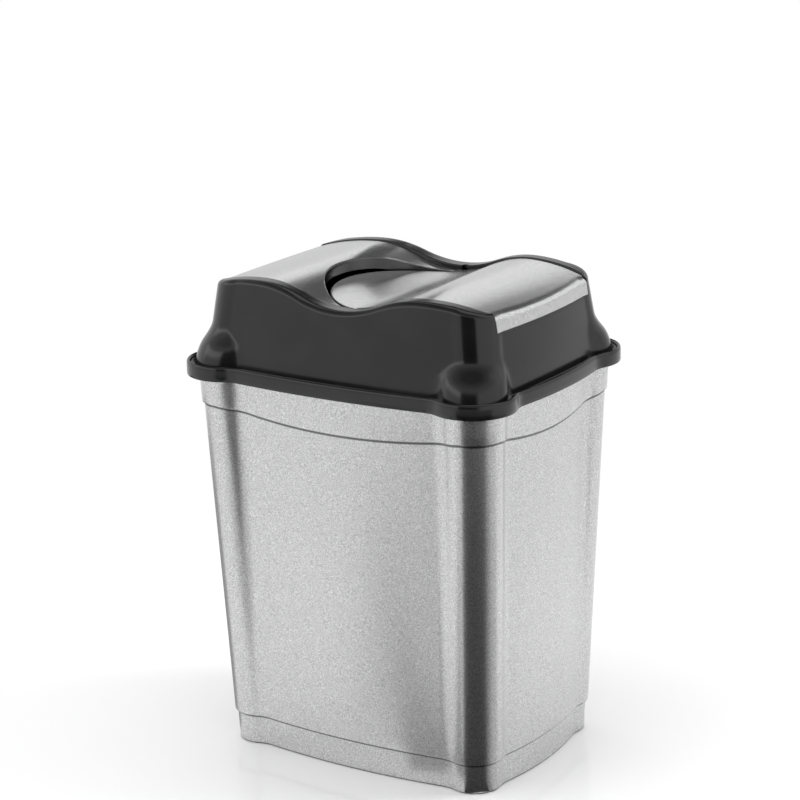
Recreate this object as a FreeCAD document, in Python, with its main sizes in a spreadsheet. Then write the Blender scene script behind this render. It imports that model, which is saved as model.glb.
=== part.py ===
import FreeCAD, Part
import math
import os
import re

import Sketcher
from FreeCAD import Placement, Rotation, Vector

# Kitchen bin with a four-columned bucket and a lift-off lid. The lid's black frame carries a fixed
# silver cover on the left and a silver rocker flap on the right. X runs along the long side, Y across,
# Z up, and the origin is the middle of the base.

# Driving sizes in millimetres. A plan's length and width are measured over its corner columns. A column
# stands proud of the line where the bowed side beside it ends.
sizes = {
    "overrun": 4.0,
    # Lid skirt, the widest outline
    "skirt_length": 281.6,
    "skirt_width": 220.2,
    "skirt_end_proud": 8.3,
    "skirt_side_proud": 9.1,
    "skirt_column": 32.0,
    "skirt_drop": 6.0,
    "skirt_lip_height": 3.4,
    "skirt_lip_width": 3.0,
    "lid_wall": 2.2,
    # Bucket
    "bucket_height": 306.0,
    "bucket_wall": 2.2,
    "rim_end_overhang": 10.45,
    "rim_side_overhang": 10.6,
    "end_taper": 11.35,
    "side_taper": 13.1,
    "bucket_top_end_proud": 9.0,
    "bucket_top_side_proud": 10.0,
    "bucket_foot_end_proud": 3.4,
    "bucket_foot_side_proud": 5.2,
    "bucket_column": 22.0,
    "side_bow": 8.0,
    "column_blend": 24.0,
    "plinth_height": 24.0,
    "plinth_step": 2.0,
    "floor_thickness": 2.6,
    "foot_ring": 9.0,
    "foot_recess": 3.0,
    "collar_proud": 1.6,
    "collar_height": 28.0,
    "collar_dip": 8.0,
    "rim_depth": 5.5,
    "rim_gap": 0.8,
    # Lid dome
    "gutter_end_width": 11.9,
    "gutter_side_width": 17.1,
    "dome_spare": 4.7,
    "dome_draft": 9.1,
    "dome_proud": 0.8,
    "dome_column": 22.0,
    "dome_end_bow": 4.0,
    "dome_side_bow": 7.0,
    "dome_blend": 20.0,
    "cap_height": 31.8,
    "cap_column": 25.5,
    # Wave of the lid's top edge and of the silver panels
    "lid_rise": 57.0,
    "wave_rise": 13.5,
    "crest_end_distance": 58.9,
    "crest_shoulder": 170.0,
    "panel_crest_drop": 0.8,
    "panel_valley_drop": 3.5,
    "rim_round": 5.0,
    # Opening, cover and flap
    "cheek_width": 16.0,
    "opening_bow": 10.0,
    "seat_depth": 8.0,
    "ledge_width": 9.5,
    "panel_wall": 2.0,
    "panel_gap": 1.0,
    "panel_round": 8.0,
    "arch_margin": 5.0,
    "arch_center": 15.7,
    "arch_lip": 9.0,
    "tongue_gap": 4.0,
    "tongue_ramp": 340.0,
    "tongue_depth": 4.0,
    "cover_end": 1.0,
    "flap_lift": 0.3,
    "pivot_place": 8.0,
    "pivot_rise": 2.2,
    "trunnion_radius": 2.5,
    "trunnion_fit": 0.05,
    "trunnion_end_gap": 1.0,
    "trunnion_root": 6.0,
    "rocker_bay": 8.0,
    "peg_radius": 2.5,
    "peg_fit": 0.05,
    "peg_inset": 4.0,
    "peg_length": 4.4,
}

# Sizes that follow from the driving ones, so that bucket, dome and panels stay fitted to the skirt.
fitted_sizes = {
    "bucket_top_length": "skirt_length - 2 * rim_end_overhang",
    "bucket_top_width": "skirt_width - 2 * rim_side_overhang",
    "bucket_foot_length": "bucket_top_length - 2 * end_taper",
    "bucket_foot_width": "bucket_top_width - 2 * side_taper",
    "dome_length": "skirt_length - 2 * gutter_end_width",
    "dome_width": "skirt_width - 2 * gutter_side_width",
    "wave_half": "dome_length / 2 - crest_end_distance",
    "valley_height": "bucket_height + lid_rise",
    "crest_height": "valley_height + wave_rise",
    "dome_height": "lid_rise + wave_rise - lid_wall + dome_spare",
    "opening_middle_width": "dome_width - 2 * cheek_width",
    "seat_height": "valley_height - seat_depth",
    "pivot_height": "seat_height + pivot_rise",
    "arch_radius": "opening_middle_width / 2 - arch_margin",
    "tongue_radius": "arch_radius - tongue_gap",
}

# Shares of the cap's height and reach that shape the rounded top of each corner column.
cap_height_shares = (0.0, 0.31, 0.5, 0.685, 0.84, 1.0)
cap_reach_shares = (1.0, 0.9, 0.69, 0.32, 0.08, 0.0)
# Heights of the plain wall above the cap at which the dome has a section.
wall_height_shares = (0.5, 1.0)
# Places of the cover's pegs along its half of the lid.
peg_place_shares = (0.32, 0.8)

doc = FreeCAD.newDocument("TrashCan")
sheet = doc.addObject("Spreadsheet::Sheet", "Sizes")
cells = {alias: str(value) for alias, value in sizes.items()}
cells.update({alias: "=" + formula for alias, formula in fitted_sizes.items()})
for row, (alias, content) in enumerate(cells.items(), start=1):
    sheet.set(f"A{row}", alias)
    sheet.set(f"B{row}", content)
    sheet.setAlias(f"B{row}", alias)
doc.recompute()


def bound(formula):
    """The formula with every size name pointed at the sheet."""
    return re.sub(r"[a-z]\w+", lambda word: "Sizes." + word.group(), formula)


def amount(formula):
    """The formula's present value."""
    return float(sheet.evalExpression(bound(formula)))


def bind(item, **formulas):
    """Bind properties, with two underscores for a dot, to formulas in the sheet's names."""
    for path, formula in formulas.items():
        item.setExpression(path.replace("__", "."), bound(formula))
    return item


def at_share(low, high, share):
    """A formula part of the way from one formula to another."""
    return f"(({low}) + (({high}) - ({low})) * {share})"


def constrain(sketch, formula, kind, *where):
    """Add a constraint whose value follows a formula."""
    number = sketch.addConstraint(Sketcher.Constraint(kind, *where, amount(formula)))
    sketch.setExpression(f"Constraints[{number}]", bound(formula))


def new_sketch(name, body=None, height="0"):
    """A sketch on a level plane, in a body or free in the document."""
    if body is None:
        sketch = doc.addObject("Sketcher::SketchObject", name)
        return bind(sketch, Placement__Base__z=height)
    sketch = body.newObject("Sketcher::SketchObject", name)
    attach(sketch, body, "XY_Plane")
    return bind(sketch, AttachmentOffset__Base__z=height)


def attach(sketch, body, role):
    plane = next(item for item in body.Origin.OriginFeatures if item.Role == role)
    sketch.AttachmentSupport = [(plane, "")]
    sketch.MapMode = "FlatFace"


def circle_meeting(center_a, reach_a, center_b, reach_b, side):
    """The meeting of two circles that lies furthest towards the side."""
    apart = center_b - center_a
    along = (reach_a ** 2 - reach_b ** 2 + apart.Length ** 2) / (2 * apart.Length)
    rise = math.sqrt(reach_a ** 2 - along ** 2)
    foot = center_a + apart * (along / apart.Length)
    across = Vector(-apart.y, apart.x, 0) * (rise / apart.Length)
    return max(foot + across, foot - across, key=lambda point: point.dot(side))


def add_arc(sketch, center, radius, start, end):
    """An arc that turns anticlockwise from one point to the other."""
    first = math.atan2(start.y - center.y, start.x - center.x)
    last = math.atan2(end.y - center.y, end.x - center.x)
    return sketch.addGeometry(Part.ArcOfCircle(Part.Circle(center, Vector(0, 0, 1), radius), first, last))


def outline(name, plan, height, inset="0", body=None):
    """A closed plan of bowed sides and round corner columns, joined by hollow blends."""
    sketch = new_sketch(name, body, height)
    column_x = f"({plan['length']}) / 2 - ({plan['column']})"
    column_y = f"({plan['width']}) / 2 - ({plan['column']})"
    column = f"({plan['column']}) - ({inset})"
    blend = f"({plan['blend']}) + ({inset})"
    long_bow = f"({column_x}) ^ 2 / (2 * {plan['side_bow']})"
    end_bow = f"({column_y}) ^ 2 / (2 * {plan['end_bow']})"
    long_middle = f"({plan['middle_width']}) / 2 - {long_bow}"
    end_middle = f"({plan['middle_length']}) / 2 - {end_bow}"
    long_radius = f"{long_bow} - ({inset})"
    end_radius = f"{end_bow} - ({inset})"

    corner = Vector(amount(column_x), amount(column_y), 0)
    long_center = Vector(0, amount(long_middle), 0)
    end_center = Vector(amount(end_middle), 0, 0)
    radii = [amount(text) for text in (column, blend, long_radius, end_radius)]
    column_r, blend_r, long_r, end_r = radii
    column_reach = column_r + blend_r
    long_blend = circle_meeting(long_center, long_r + blend_r, corner, column_reach, Vector(0, 1, 0))
    end_blend = circle_meeting(end_center, end_r + blend_r, corner, column_reach, Vector(1, 0, 0))
    end_leave = end_center + (end_blend - end_center) * (end_r / (end_r + blend_r))
    column_enter = corner + (end_blend - corner) * (column_r / column_reach)
    column_leave = corner + (long_blend - corner) * (column_r / column_reach)
    long_enter = long_center + (long_blend - long_center) * (long_r / (long_r + blend_r))

    def turned(point, across, along):
        return Vector(point.x * across, point.y * along, 0)

    # The arcs go round anticlockwise from the end at +X. Hollow arcs run from their end to their start.
    path = []
    corners, blends, longs, ends = [], [], [], []
    meetings = (end_leave, column_enter, column_leave, long_enter)
    for across, along in ((1, 1), (-1, 1), (-1, -1), (1, -1)):
        points = [turned(point, across, along) for point in meetings]
        middles = [turned(point, across, along) for point in (end_blend, corner, long_blend)]
        if across == along:
            opposite = turned(end_leave, across, -along)
            ends.append(add_arc(sketch, turned(end_center, across, along), end_r, opposite, points[0]))
            path.append((ends[-1], 1, 2))
        else:
            points.reverse()
            middles.reverse()
            opposite = turned(long_enter, -across, along)
            longs.append(add_arc(sketch, turned(long_center, across, along), long_r, opposite, points[0]))
            path.append((longs[-1], 1, 2))
        blends.append(add_arc(sketch, middles[0], blend_r, points[1], points[0]))
        path.append((blends[-1], 2, 1))
        corners.append(add_arc(sketch, middles[1], column_r, points[1], points[2]))
        path.append((corners[-1], 1, 2))
        blends.append(add_arc(sketch, middles[2], blend_r, points[3], points[2]))
        path.append((blends[-1], 2, 1))
        constrain(sketch, f"{across} * ({column_x})", "DistanceX", -1, 1, corners[-1], 3)
        constrain(sketch, f"{along} * ({column_y})", "DistanceY", -1, 1, corners[-1], 3)

    for (arc, _, leave), (following, enter, _) in zip(path, path[1:] + path[:1]):
        sketch.addConstraint(Sketcher.Constraint("Tangent", arc, leave, following, enter))
    for group, radius in ((corners, column), (blends, blend), (longs, long_radius), (ends, end_radius)):
        constrain(sketch, radius, "Radius", group[0])
        for arc in group[1:]:
            sketch.addConstraint(Sketcher.Constraint("Equal", group[0], arc))
    for sign, arc in zip((1, -1), longs):
        sketch.addConstraint(Sketcher.Constraint("PointOnObject", arc, 3, -2))
        constrain(sketch, f"{sign} * ({long_middle})", "DistanceY", -1, 1, arc, 3)
    for sign, arc in zip((1, -1), ends):
        sketch.addConstraint(Sketcher.Constraint("PointOnObject", arc, 3, -1))
        constrain(sketch, f"{sign} * ({end_middle})", "DistanceX", -1, 1, arc, 3)
    return sketch


def body_loft(kind, body, name, sketches):
    loft = body.newObject(f"PartDesign::{kind}", name)
    loft.Profile = sketches[0]
    loft.Sections = sketches[1:]
    loft.Ruled = True
    return loft


def loft(name, sketches):
    item = doc.addObject("Part::Loft", name)
    item.Sections = sketches
    item.Solid = True
    item.MaxDegree = 3
    return item


def prism(name, sketch, length, both_ways=False):
    item = doc.addObject("Part::Extrusion", name)
    item.Base = sketch
    item.DirMode = "Normal"
    item.Solid = True
    item.Symmetric = both_ways
    return bind(item, LengthFwd=length)


def joined(name, *items):
    item = doc.addObject("Part::MultiFuse", name)
    item.Shapes = list(items)
    item.Refine = False
    return item


def shared(name, *items):
    item = doc.addObject("Part::MultiCommon", name)
    item.Shapes = list(items)
    return item


def less(name, base, *tools):
    item = doc.addObject("Part::Cut", name)
    item.Base = base
    item.Tool = tools[0] if len(tools) == 1 else joined(name + "Tools", *tools)
    return item


def upright_cylinder(name, radius, place_x, place_y, low, high):
    item = doc.addObject("Part::Cylinder", name)
    return bind(item, Radius=radius, Height=f"({high}) - ({low})", Placement__Base__x=place_x,
                Placement__Base__y=place_y, Placement__Base__z=low)


def block(name, low_x, high_x, low_y, high_y, low_z, high_z):
    item = doc.addObject("Part::Box", name)
    return bind(item, Length=f"({high_x}) - ({low_x})", Width=f"({high_y}) - ({low_y})",
                Height=f"({high_z}) - ({low_z})", Placement__Base__x=low_x, Placement__Base__y=low_y,
                Placement__Base__z=low_z)


# Plans
skirt_plan = {"length": "skirt_length", "width": "skirt_width", "column": "skirt_column",
              "middle_length": "skirt_length + 2 * (side_bow - skirt_end_proud)",
              "middle_width": "skirt_width + 2 * (side_bow - skirt_side_proud)",
              "blend": "column_blend", "side_bow": "side_bow", "end_bow": "side_bow"}


def bucket_plan(height):
    """The bucket's tapered plan at a height above its base."""
    share = f"({height}) / bucket_height"
    plan = {"column": "bucket_column", "blend": "column_blend"}
    plan.update({"side_bow": "side_bow", "end_bow": "side_bow"})
    for size, proud in (("length", "end_proud"), ("width", "side_proud")):
        plan[size] = at_share(f"bucket_foot_{size}", f"bucket_top_{size}", share)
        proud_here = at_share(f"bucket_foot_{proud}", f"bucket_top_{proud}", share)
        plan["middle_" + size] = f"{plan[size]} + 2 * (side_bow - {proud_here})"
    return plan


def dome_plan(rise, cap_share):
    """The dome's plan at a rise above the skirt, swollen at its corners by the column caps."""
    narrowing = f"2 * ({rise}) / dome_height * dome_draft"
    cap_length = "skirt_length - 2 * skirt_column + 2 * cap_column"
    cap_width = "skirt_width - 2 * skirt_column + 2 * cap_column"
    return {"length": at_share("dome_length", cap_length, cap_share) + " - " + narrowing,
            "width": at_share("dome_width", cap_width, cap_share) + " - " + narrowing,
            "column": at_share("dome_column", "cap_column", cap_share),
            "middle_length": "dome_length + 2 * (dome_end_bow - dome_proud) - " + narrowing,
            "middle_width": "dome_width + 2 * (dome_side_bow - dome_proud) - " + narrowing,
            "blend": "dome_blend", "side_bow": "dome_side_bow", "end_bow": "dome_end_bow"}


# Heights and distances that several pieces share
gutter_floor = "bucket_height + lid_wall"
skirt_low = "bucket_height - skirt_drop"
skirt_top = f"{gutter_floor} + skirt_lip_height"
dome_top = f"{gutter_floor} + dome_height"
panel_crest = "crest_height - panel_crest_drop"
panel_valley = "valley_height - panel_valley_drop"
reach = "skirt_length / 2 + overrun"
trunnion_tip = "opening_middle_width / 2 + lid_wall"


def make_bucket():
    """Tapered hollow moulding with a recessed plinth, a proud collar and a turned-down rim."""
    body = doc.addObject("PartDesign::Body", "Bucket")
    body.Label = "bucket"
    collar_low = "bucket_height - collar_height - collar_dip"
    collar_edge = "bucket_height - collar_height"

    rim_inset = "lid_wall + rim_gap"
    rim = body.newObject("PartDesign::Pad", "Rim")
    rim.Profile = outline("RimPlan", skirt_plan, "bucket_height - rim_depth", rim_inset, body)
    bind(rim, Length="rim_depth")
    under = body.newObject("PartDesign::Pocket", "RimUnderside")
    under.Profile = outline("RimUnderPlan", skirt_plan, "bucket_height - rim_depth",
                            rim_inset + " + bucket_wall", body)
    under.Reversed = True
    bind(under, Length="rim_depth - bucket_wall")

    collar = [outline(name, bucket_plan(height), height, "-collar_proud", body)
              for name, height in (("CollarLow", collar_low), ("CollarTop", "bucket_height"))]
    body_loft("AdditiveLoft", body, "Collar", collar)
    trim_collar(body, collar_low, collar_edge)

    wall = [outline(name, bucket_plan(height), height, "0", body)
            for name, height in (("WallLow", "plinth_height"), ("WallTop", "bucket_height"))]
    body_loft("AdditiveLoft", body, "Wall", wall)
    plinth = [outline(name, bucket_plan(height), height, "plinth_step", body)
              for name, height in (("PlinthLow", "0"), ("PlinthTop", "plinth_height"))]
    body_loft("AdditiveLoft", body, "Plinth", plinth)

    floor = "foot_recess + floor_thickness"
    hollow = [outline("HollowLow", bucket_plan(floor), floor, "plinth_step + bucket_wall", body),
              outline("HollowTop", bucket_plan("bucket_height"), "bucket_height", "bucket_wall", body)]
    body_loft("SubtractiveLoft", body, "Hollow", hollow)
    recess = body.newObject("PartDesign::Pocket", "FootRecess")
    recess.Profile = outline("FootRecessPlan", bucket_plan("0"), "0", "foot_ring", body)
    recess.Reversed = True
    bind(recess, Length="foot_recess")
    return body


def trim_collar(body, collar_low, collar_edge):
    """Cut the collar's lower edge level at the columns and dipped in the middle of each side."""
    spans = {"XZ_Plane": "bucket_top_length / 2 - bucket_column",
             "YZ_Plane": "bucket_top_width / 2 - bucket_column"}
    for role, span in spans.items():
        sketch = body.newObject("Sketcher::SketchObject", "CollarDip" + role[:2])
        attach(sketch, body, role)
        half, dip = amount(span), amount("collar_dip")
        low, edge = amount(collar_low), amount(collar_edge)
        bottom = low - amount("overrun")
        radius = (half ** 2 + dip ** 2) / (2 * dip)
        left, right = Vector(-half, edge, 0), Vector(half, edge, 0)
        arc = add_arc(sketch, Vector(0, low + radius, 0), radius, left, right)
        corners = [right, Vector(half, bottom, 0), Vector(-half, bottom, 0), left]
        lines = [sketch.addGeometry(Part.LineSegment(a, b)) for a, b in zip(corners, corners[1:])]
        for first, second in ((arc, lines[0]), (lines[0], lines[1]), (lines[1], lines[2])):
            sketch.addConstraint(Sketcher.Constraint("Coincident", first, 2, second, 1))
        sketch.addConstraint(Sketcher.Constraint("Coincident", lines[2], 2, arc, 1))
        sketch.addConstraint(Sketcher.Constraint("Vertical", lines[0]))
        sketch.addConstraint(Sketcher.Constraint("Vertical", lines[2]))
        sketch.addConstraint(Sketcher.Constraint("Horizontal", lines[1]))
        sketch.addConstraint(Sketcher.Constraint("PointOnObject", arc, 3, -2))
        constrain(sketch, f"(({span}) ^ 2 + collar_dip ^ 2) / (2 * collar_dip)", "Radius", arc)
        constrain(sketch, span, "DistanceX", -1, 1, lines[0], 1)
        constrain(sketch, collar_edge, "DistanceY", -1, 1, lines[0], 1)
        constrain(sketch, f"{collar_low} - overrun", "DistanceY", -1, 1, lines[1], 1)
        pocket = body.newObject("PartDesign::Pocket", "CollarTrim" + role[:2])
        pocket.Profile = sketch
        pocket.Type = "ThroughAll"
        pocket.Midplane = True

    sketch = new_sketch("CollarColumns", body, f"{collar_low} - overrun")
    near_x, near_y = (amount(span) for span in spans.values())
    far_x, far_y = amount(reach), amount("skirt_width / 2 + overrun")
    for across, along in ((1, 1), (-1, 1), (-1, -1), (1, -1)):
        add_rectangle(sketch, across, along, (near_x, far_x), (near_y, far_y),
                      (spans["XZ_Plane"], reach), (spans["YZ_Plane"], "skirt_width / 2 + overrun"))
    pocket = body.newObject("PartDesign::Pocket", "CollarTrimColumns")
    pocket.Profile = sketch
    pocket.Reversed = True
    bind(pocket, Length="collar_dip + overrun")


def add_rectangle(sketch, across, along, range_x, range_y, names_x, names_y):
    """A rectangle in one quadrant, held by the formulas of its four sides."""
    places = [(across * range_x[i], along * range_y[j]) for i, j in ((0, 0), (1, 0), (1, 1), (0, 1))]
    corners = [Vector(x, y, 0) for x, y in places]
    lines = [sketch.addGeometry(Part.LineSegment(a, b)) for a, b in zip(corners, corners[1:] + corners[:1])]
    for first, second in zip(lines, lines[1:] + lines[:1]):
        sketch.addConstraint(Sketcher.Constraint("Coincident", first, 2, second, 1))
    for line, kind in zip(lines, ("Horizontal", "Vertical") * 2):
        sketch.addConstraint(Sketcher.Constraint(kind, line))
    for end, formula in zip((1, 2), names_x):
        constrain(sketch, f"{across} * ({formula})", "DistanceX", -1, 1, lines[0], end)
    for end, formula in zip((1, 2), names_y):
        constrain(sketch, f"{along} * ({formula})", "DistanceY", -1, 1, lines[1], end)


def wave_prism(name, crest, valley, low, ramp=None):
    """Everything under the wave, extruded across: two crests with a valley between, or, with a ramp's
    radius, the valley and the right crest with a slow rise on the left."""
    sketch = doc.addObject("Sketcher::SketchObject", name + "Profile")
    sketch.Placement = Placement(Vector(), Rotation(Vector(1, 0, 0), 90))
    rise = f"(({crest}) - ({valley}))"
    radius = f"(wave_half ^ 2 + {rise} ^ 2) / (4 * {rise})"
    shoulder = f"(crest_shoulder + ({crest}) - crest_height)"
    half, bend, outer_bend = amount("wave_half"), amount(radius), amount(shoulder)
    top, dip, far, base = amount(crest), amount(valley), amount(reach), amount(low)
    end_height = top - outer_bend + math.sqrt(outer_bend ** 2 - (far - half) ** 2)
    end, peak = Vector(far, end_height, 0), Vector(half, top, 0)
    turn = (peak + Vector(0, dip, 0)) / 2

    def mirrored(point):
        return Vector(-point.x, point.y, 0)

    outers = [add_arc(sketch, Vector(half, top - outer_bend, 0), outer_bend, end, peak)]
    inners = [add_arc(sketch, Vector(half, top - bend, 0), bend, peak, turn)]
    if ramp is None:
        left_end = mirrored(end)
        bottom = add_arc(sketch, Vector(0, dip + bend, 0), bend, mirrored(turn), turn)
        inner_center, outer_center = Vector(-half, top - bend, 0), Vector(-half, top - outer_bend, 0)
        inners.append(add_arc(sketch, inner_center, bend, mirrored(turn), mirrored(peak)))
        outers.append(add_arc(sketch, outer_center, outer_bend, mirrored(peak), left_end))
        path = [(outers[0], 1, 2), (inners[0], 1, 2), (bottom, 2, 1)]
        path += [(inners[1], 1, 2), (outers[1], 1, 2)]
    else:
        slope_bend, foot = amount(ramp), Vector(0, dip, 0)
        left_end = Vector(-far, dip + slope_bend - math.sqrt(slope_bend ** 2 - far ** 2), 0)
        bottom = add_arc(sketch, Vector(0, dip + bend, 0), bend, foot, turn)
        slope = add_arc(sketch, Vector(0, dip + slope_bend, 0), slope_bend, left_end, foot)
        path = [(outers[0], 1, 2), (inners[0], 1, 2), (bottom, 2, 1), (slope, 2, 1)]
        sketch.addConstraint(Sketcher.Constraint("PointOnObject", slope, 3, -2))
        constrain(sketch, ramp, "Radius", slope)
    corners = [left_end, Vector(-far, base, 0), Vector(far, base, 0), end]
    lines = [sketch.addGeometry(Part.LineSegment(a, b)) for a, b in zip(corners, corners[1:])]

    for (arc, _, leave), (following, enter, _) in zip(path, path[1:]):
        sketch.addConstraint(Sketcher.Constraint("Tangent", arc, leave, following, enter))
    last, _, last_end = path[-1]
    sketch.addConstraint(Sketcher.Constraint("Coincident", last, last_end, lines[0], 1))
    for first, second in ((lines[0], lines[1]), (lines[1], lines[2]), (lines[2], outers[0])):
        sketch.addConstraint(Sketcher.Constraint("Coincident", first, 2, second, 1))
    for line, kind in zip(lines, ("Vertical", "Horizontal", "Vertical")):
        sketch.addConstraint(Sketcher.Constraint(kind, line))
    sketch.addConstraint(Sketcher.Constraint("PointOnObject", bottom, 3, -2))
    constrain(sketch, radius, "Radius", bottom)
    constrain(sketch, f"({valley}) + {radius}", "DistanceY", -1, 1, bottom, 3)
    for sign, inner, outer in zip((1, -1), inners, outers):
        sketch.addConstraint(Sketcher.Constraint("Equal", bottom, inner))
        constrain(sketch, f"{sign} * wave_half", "DistanceX", -1, 1, inner, 3)
        constrain(sketch, f"{sign} * wave_half", "DistanceX", -1, 1, outer, 3)
        constrain(sketch, shoulder, "Radius", outer)
    constrain(sketch, f"-({reach})", "DistanceX", -1, 1, lines[1], 1)
    constrain(sketch, reach, "DistanceX", -1, 1, lines[1], 2)
    constrain(sketch, low, "DistanceY", -1, 1, lines[1], 1)
    return prism(name, sketch, "skirt_width + 2 * overrun", both_ways=True)


def opening_prism(name, inset, low):
    """The lid's opening with its bowed long sides, run out past both ends and up past the top."""
    sketch = new_sketch(name + "Plan", height=low)
    curve = "((dome_length / 2) ^ 2 + opening_bow ^ 2) / (2 * opening_bow)"
    radius = f"{curve} - ({inset})"
    middle = f"opening_middle_width / 2 - {curve}"
    far, bend, center = amount(reach), amount(radius), amount(middle)
    edge = center + math.sqrt(bend ** 2 - far ** 2)
    back = add_arc(sketch, Vector(0, center, 0), bend, Vector(far, edge, 0), Vector(-far, edge, 0))
    front = add_arc(sketch, Vector(0, -center, 0), bend, Vector(-far, -edge, 0), Vector(far, -edge, 0))
    left = sketch.addGeometry(Part.LineSegment(Vector(-far, edge, 0), Vector(-far, -edge, 0)))
    right = sketch.addGeometry(Part.LineSegment(Vector(far, -edge, 0), Vector(far, edge, 0)))
    for first, second in ((back, left), (left, front), (front, right), (right, back)):
        sketch.addConstraint(Sketcher.Constraint("Coincident", first, 2, second, 1))
    for arc in (back, front):
        sketch.addConstraint(Sketcher.Constraint("PointOnObject", arc, 3, -2))
    for line in (left, right):
        sketch.addConstraint(Sketcher.Constraint("Vertical", line))
    sketch.addConstraint(Sketcher.Constraint("Equal", back, front))
    constrain(sketch, radius, "Radius", back)
    constrain(sketch, middle, "DistanceY", -1, 1, back, 3)
    constrain(sketch, f"-({middle})", "DistanceY", -1, 1, front, 3)
    constrain(sketch, f"-({reach})", "DistanceX", -1, 1, left, 1)
    constrain(sketch, reach, "DistanceX", -1, 1, right, 1)
    return prism(name, sketch, f"{dome_top} + overrun - ({low})")


def dome_loft(name, inset, low=None):
    """The dome's blended form, as a whole or inset by a wall."""
    sections = []
    if low is not None:
        sections.append(outline(name + "Low", dome_plan("0", cap_reach_shares[0]), low, inset))
    for number, (height, cap) in enumerate(zip(cap_height_shares, cap_reach_shares)):
        rise = f"{height} * cap_height"
        place = f"{gutter_floor} + {rise}"
        sections.append(outline(f"{name}Cap{number}", dome_plan(rise, cap), place, inset))
    for number, share in enumerate(wall_height_shares):
        rise = at_share("cap_height", "dome_height", share)
        place = f"{gutter_floor} + {rise}"
        sections.append(outline(f"{name}Wall{number}", dome_plan(rise, cap_reach_shares[-1]), place, inset))
    return loft(name, sections)


def rounded_top(name, base, radius, beyond="0"):
    """Round the edges where a wave top meets the walls round it, from a distance along the lid outwards."""
    doc.recompute()
    shape = base.Shape
    across = Vector(0, 1, 0)
    counts = {}
    for face in shape.Faces:
        surface = face.Surface
        if isinstance(surface, Part.Cylinder) and surface.Axis.isParallel(across, math.radians(1)):
            for edge in face.Edges:
                counts[edge.hashCode()] = counts.get(edge.hashCode(), 0) + 1
    rounding, nearest = amount(radius), amount(beyond)
    edges = [(number, rounding, rounding) for number, edge in enumerate(shape.Edges, start=1)
             if counts.get(edge.hashCode()) == 1 and abs(edge.CenterOfMass.x) >= nearest]
    item = doc.addObject("Part::Fillet", name)
    item.Base = base
    item.Edges = edges
    return item


def pivot_cylinder(name, radius, low, high):
    """A cylinder about the rocker's axis, from one distance across to another."""
    item = doc.addObject("Part::Cylinder", name)
    item.Placement = Placement(Vector(), Rotation(Vector(1, 0, 0), -90))
    return bind(item, Radius=radius, Height=f"({high}) - ({low})", Placement__Base__x="pivot_place",
                Placement__Base__y=low, Placement__Base__z="pivot_height")


def peg_places():
    """Each peg's place along and across, as formulas."""
    for share in peg_place_shares:
        along = f"-{share} * dome_length / 2"
        edge = f"(opening_middle_width / 2 - opening_bow * {share} ^ 2 - panel_gap - peg_inset)"
        for side in (-1, 1):
            yield along, f"{side} * {edge}"


def make_frame(dome):
    """Black moulding: skirt, gutter, dome, wave-topped cheeks and the ledge that carries the panels."""
    skirt = prism("Skirt", outline("SkirtPlan", skirt_plan, skirt_low), f"{skirt_top} - ({skirt_low})")
    gutter = prism("Gutter", outline("GutterPlan", skirt_plan, gutter_floor, "skirt_lip_width"),
                   "skirt_lip_height + overrun")
    bay = prism("SkirtBay", outline("SkirtBayPlan", skirt_plan, f"{skirt_low} - overrun", "lid_wall"),
                "skirt_drop + overrun")
    wave = wave_prism("FrameWave", "crest_height", "valley_height", "bucket_height")
    topped = rounded_top("DomeRounded", shared("DomeTopped", dome, wave), "rim_round")
    shell = joined("FrameBlank", less("SkirtBand", skirt, gutter, bay), topped)

    core = shared("Core", dome_loft("DomeInside", "lid_wall", "bucket_height - overrun"),
                  wave_prism("CoreWave", "crest_height - lid_wall", "valley_height - lid_wall",
                             "bucket_height - overrun"))
    ledge_low = "seat_height - lid_wall"
    inner_walls = opening_prism("InnerWalls", "-lid_wall", ledge_low)
    well = opening_prism("Well", "ledge_width", "bucket_height - overrun")
    kept = less("CheekLining", inner_walls, well)
    hollow = less("FrameHollow", core, kept)
    opening = opening_prism("Opening", "0", "seat_height")

    bay_side = "opening_middle_width / 2 - panel_gap / 2"
    rocker_bay = block("RockerBay", "cover_end", "pivot_place + rocker_bay", f"-({bay_side})", bay_side,
                       f"{ledge_low} - overrun", "seat_height + overrun")
    tools = [hollow, opening, rocker_bay]
    slot_radius = "(trunnion_radius + trunnion_fit)"
    slot_sides = (f"pivot_place - {slot_radius}", f"pivot_place + {slot_radius}")
    slot_near = "opening_middle_width / 2 - ledge_width - overrun"
    slot_far = f"{trunnion_tip} + trunnion_end_gap"
    for side, name in ((-1, "Front"), (1, "Back")):
        ends = sorted((f"{side} * ({slot_near})", f"{side} * ({slot_far})"), key=amount)
        tools.append(pivot_cylinder(f"Slot{name}", slot_radius, *ends))
        tools.append(block(f"SlotMouth{name}", *slot_sides, *ends, "pivot_height", dome_top))
    for number, (along, across) in enumerate(peg_places()):
        tools.append(upright_cylinder(f"PegHole{number}", "peg_radius + peg_fit", along, across,
                                      f"{ledge_low} - overrun", "seat_height + overrun"))
    frame = less("LidFrame", shell, *tools)
    frame.Label = "lid_frame"
    return frame


def panel_forms(dome):
    """The forms that both panels are cut from: dome and wave, whole and inset by the panel wall."""
    wave = wave_prism("PanelWave", panel_crest, panel_valley, "bucket_height")
    inner_wave = wave_prism("PanelInnerWave", f"{panel_crest} - panel_wall", f"{panel_valley} - panel_wall",
                            "bucket_height - overrun")
    return (dome, wave), (dome_loft("PanelDome", "panel_wall"), inner_wave)


def panel_piece(name, forms, zone, radius):
    """One zone of a panel's form, with the edge above its end return rounded."""
    return rounded_top(name, shared(name + "Sharp", *forms, zone), radius, "dome_length / 2 - dome_column")


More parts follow.
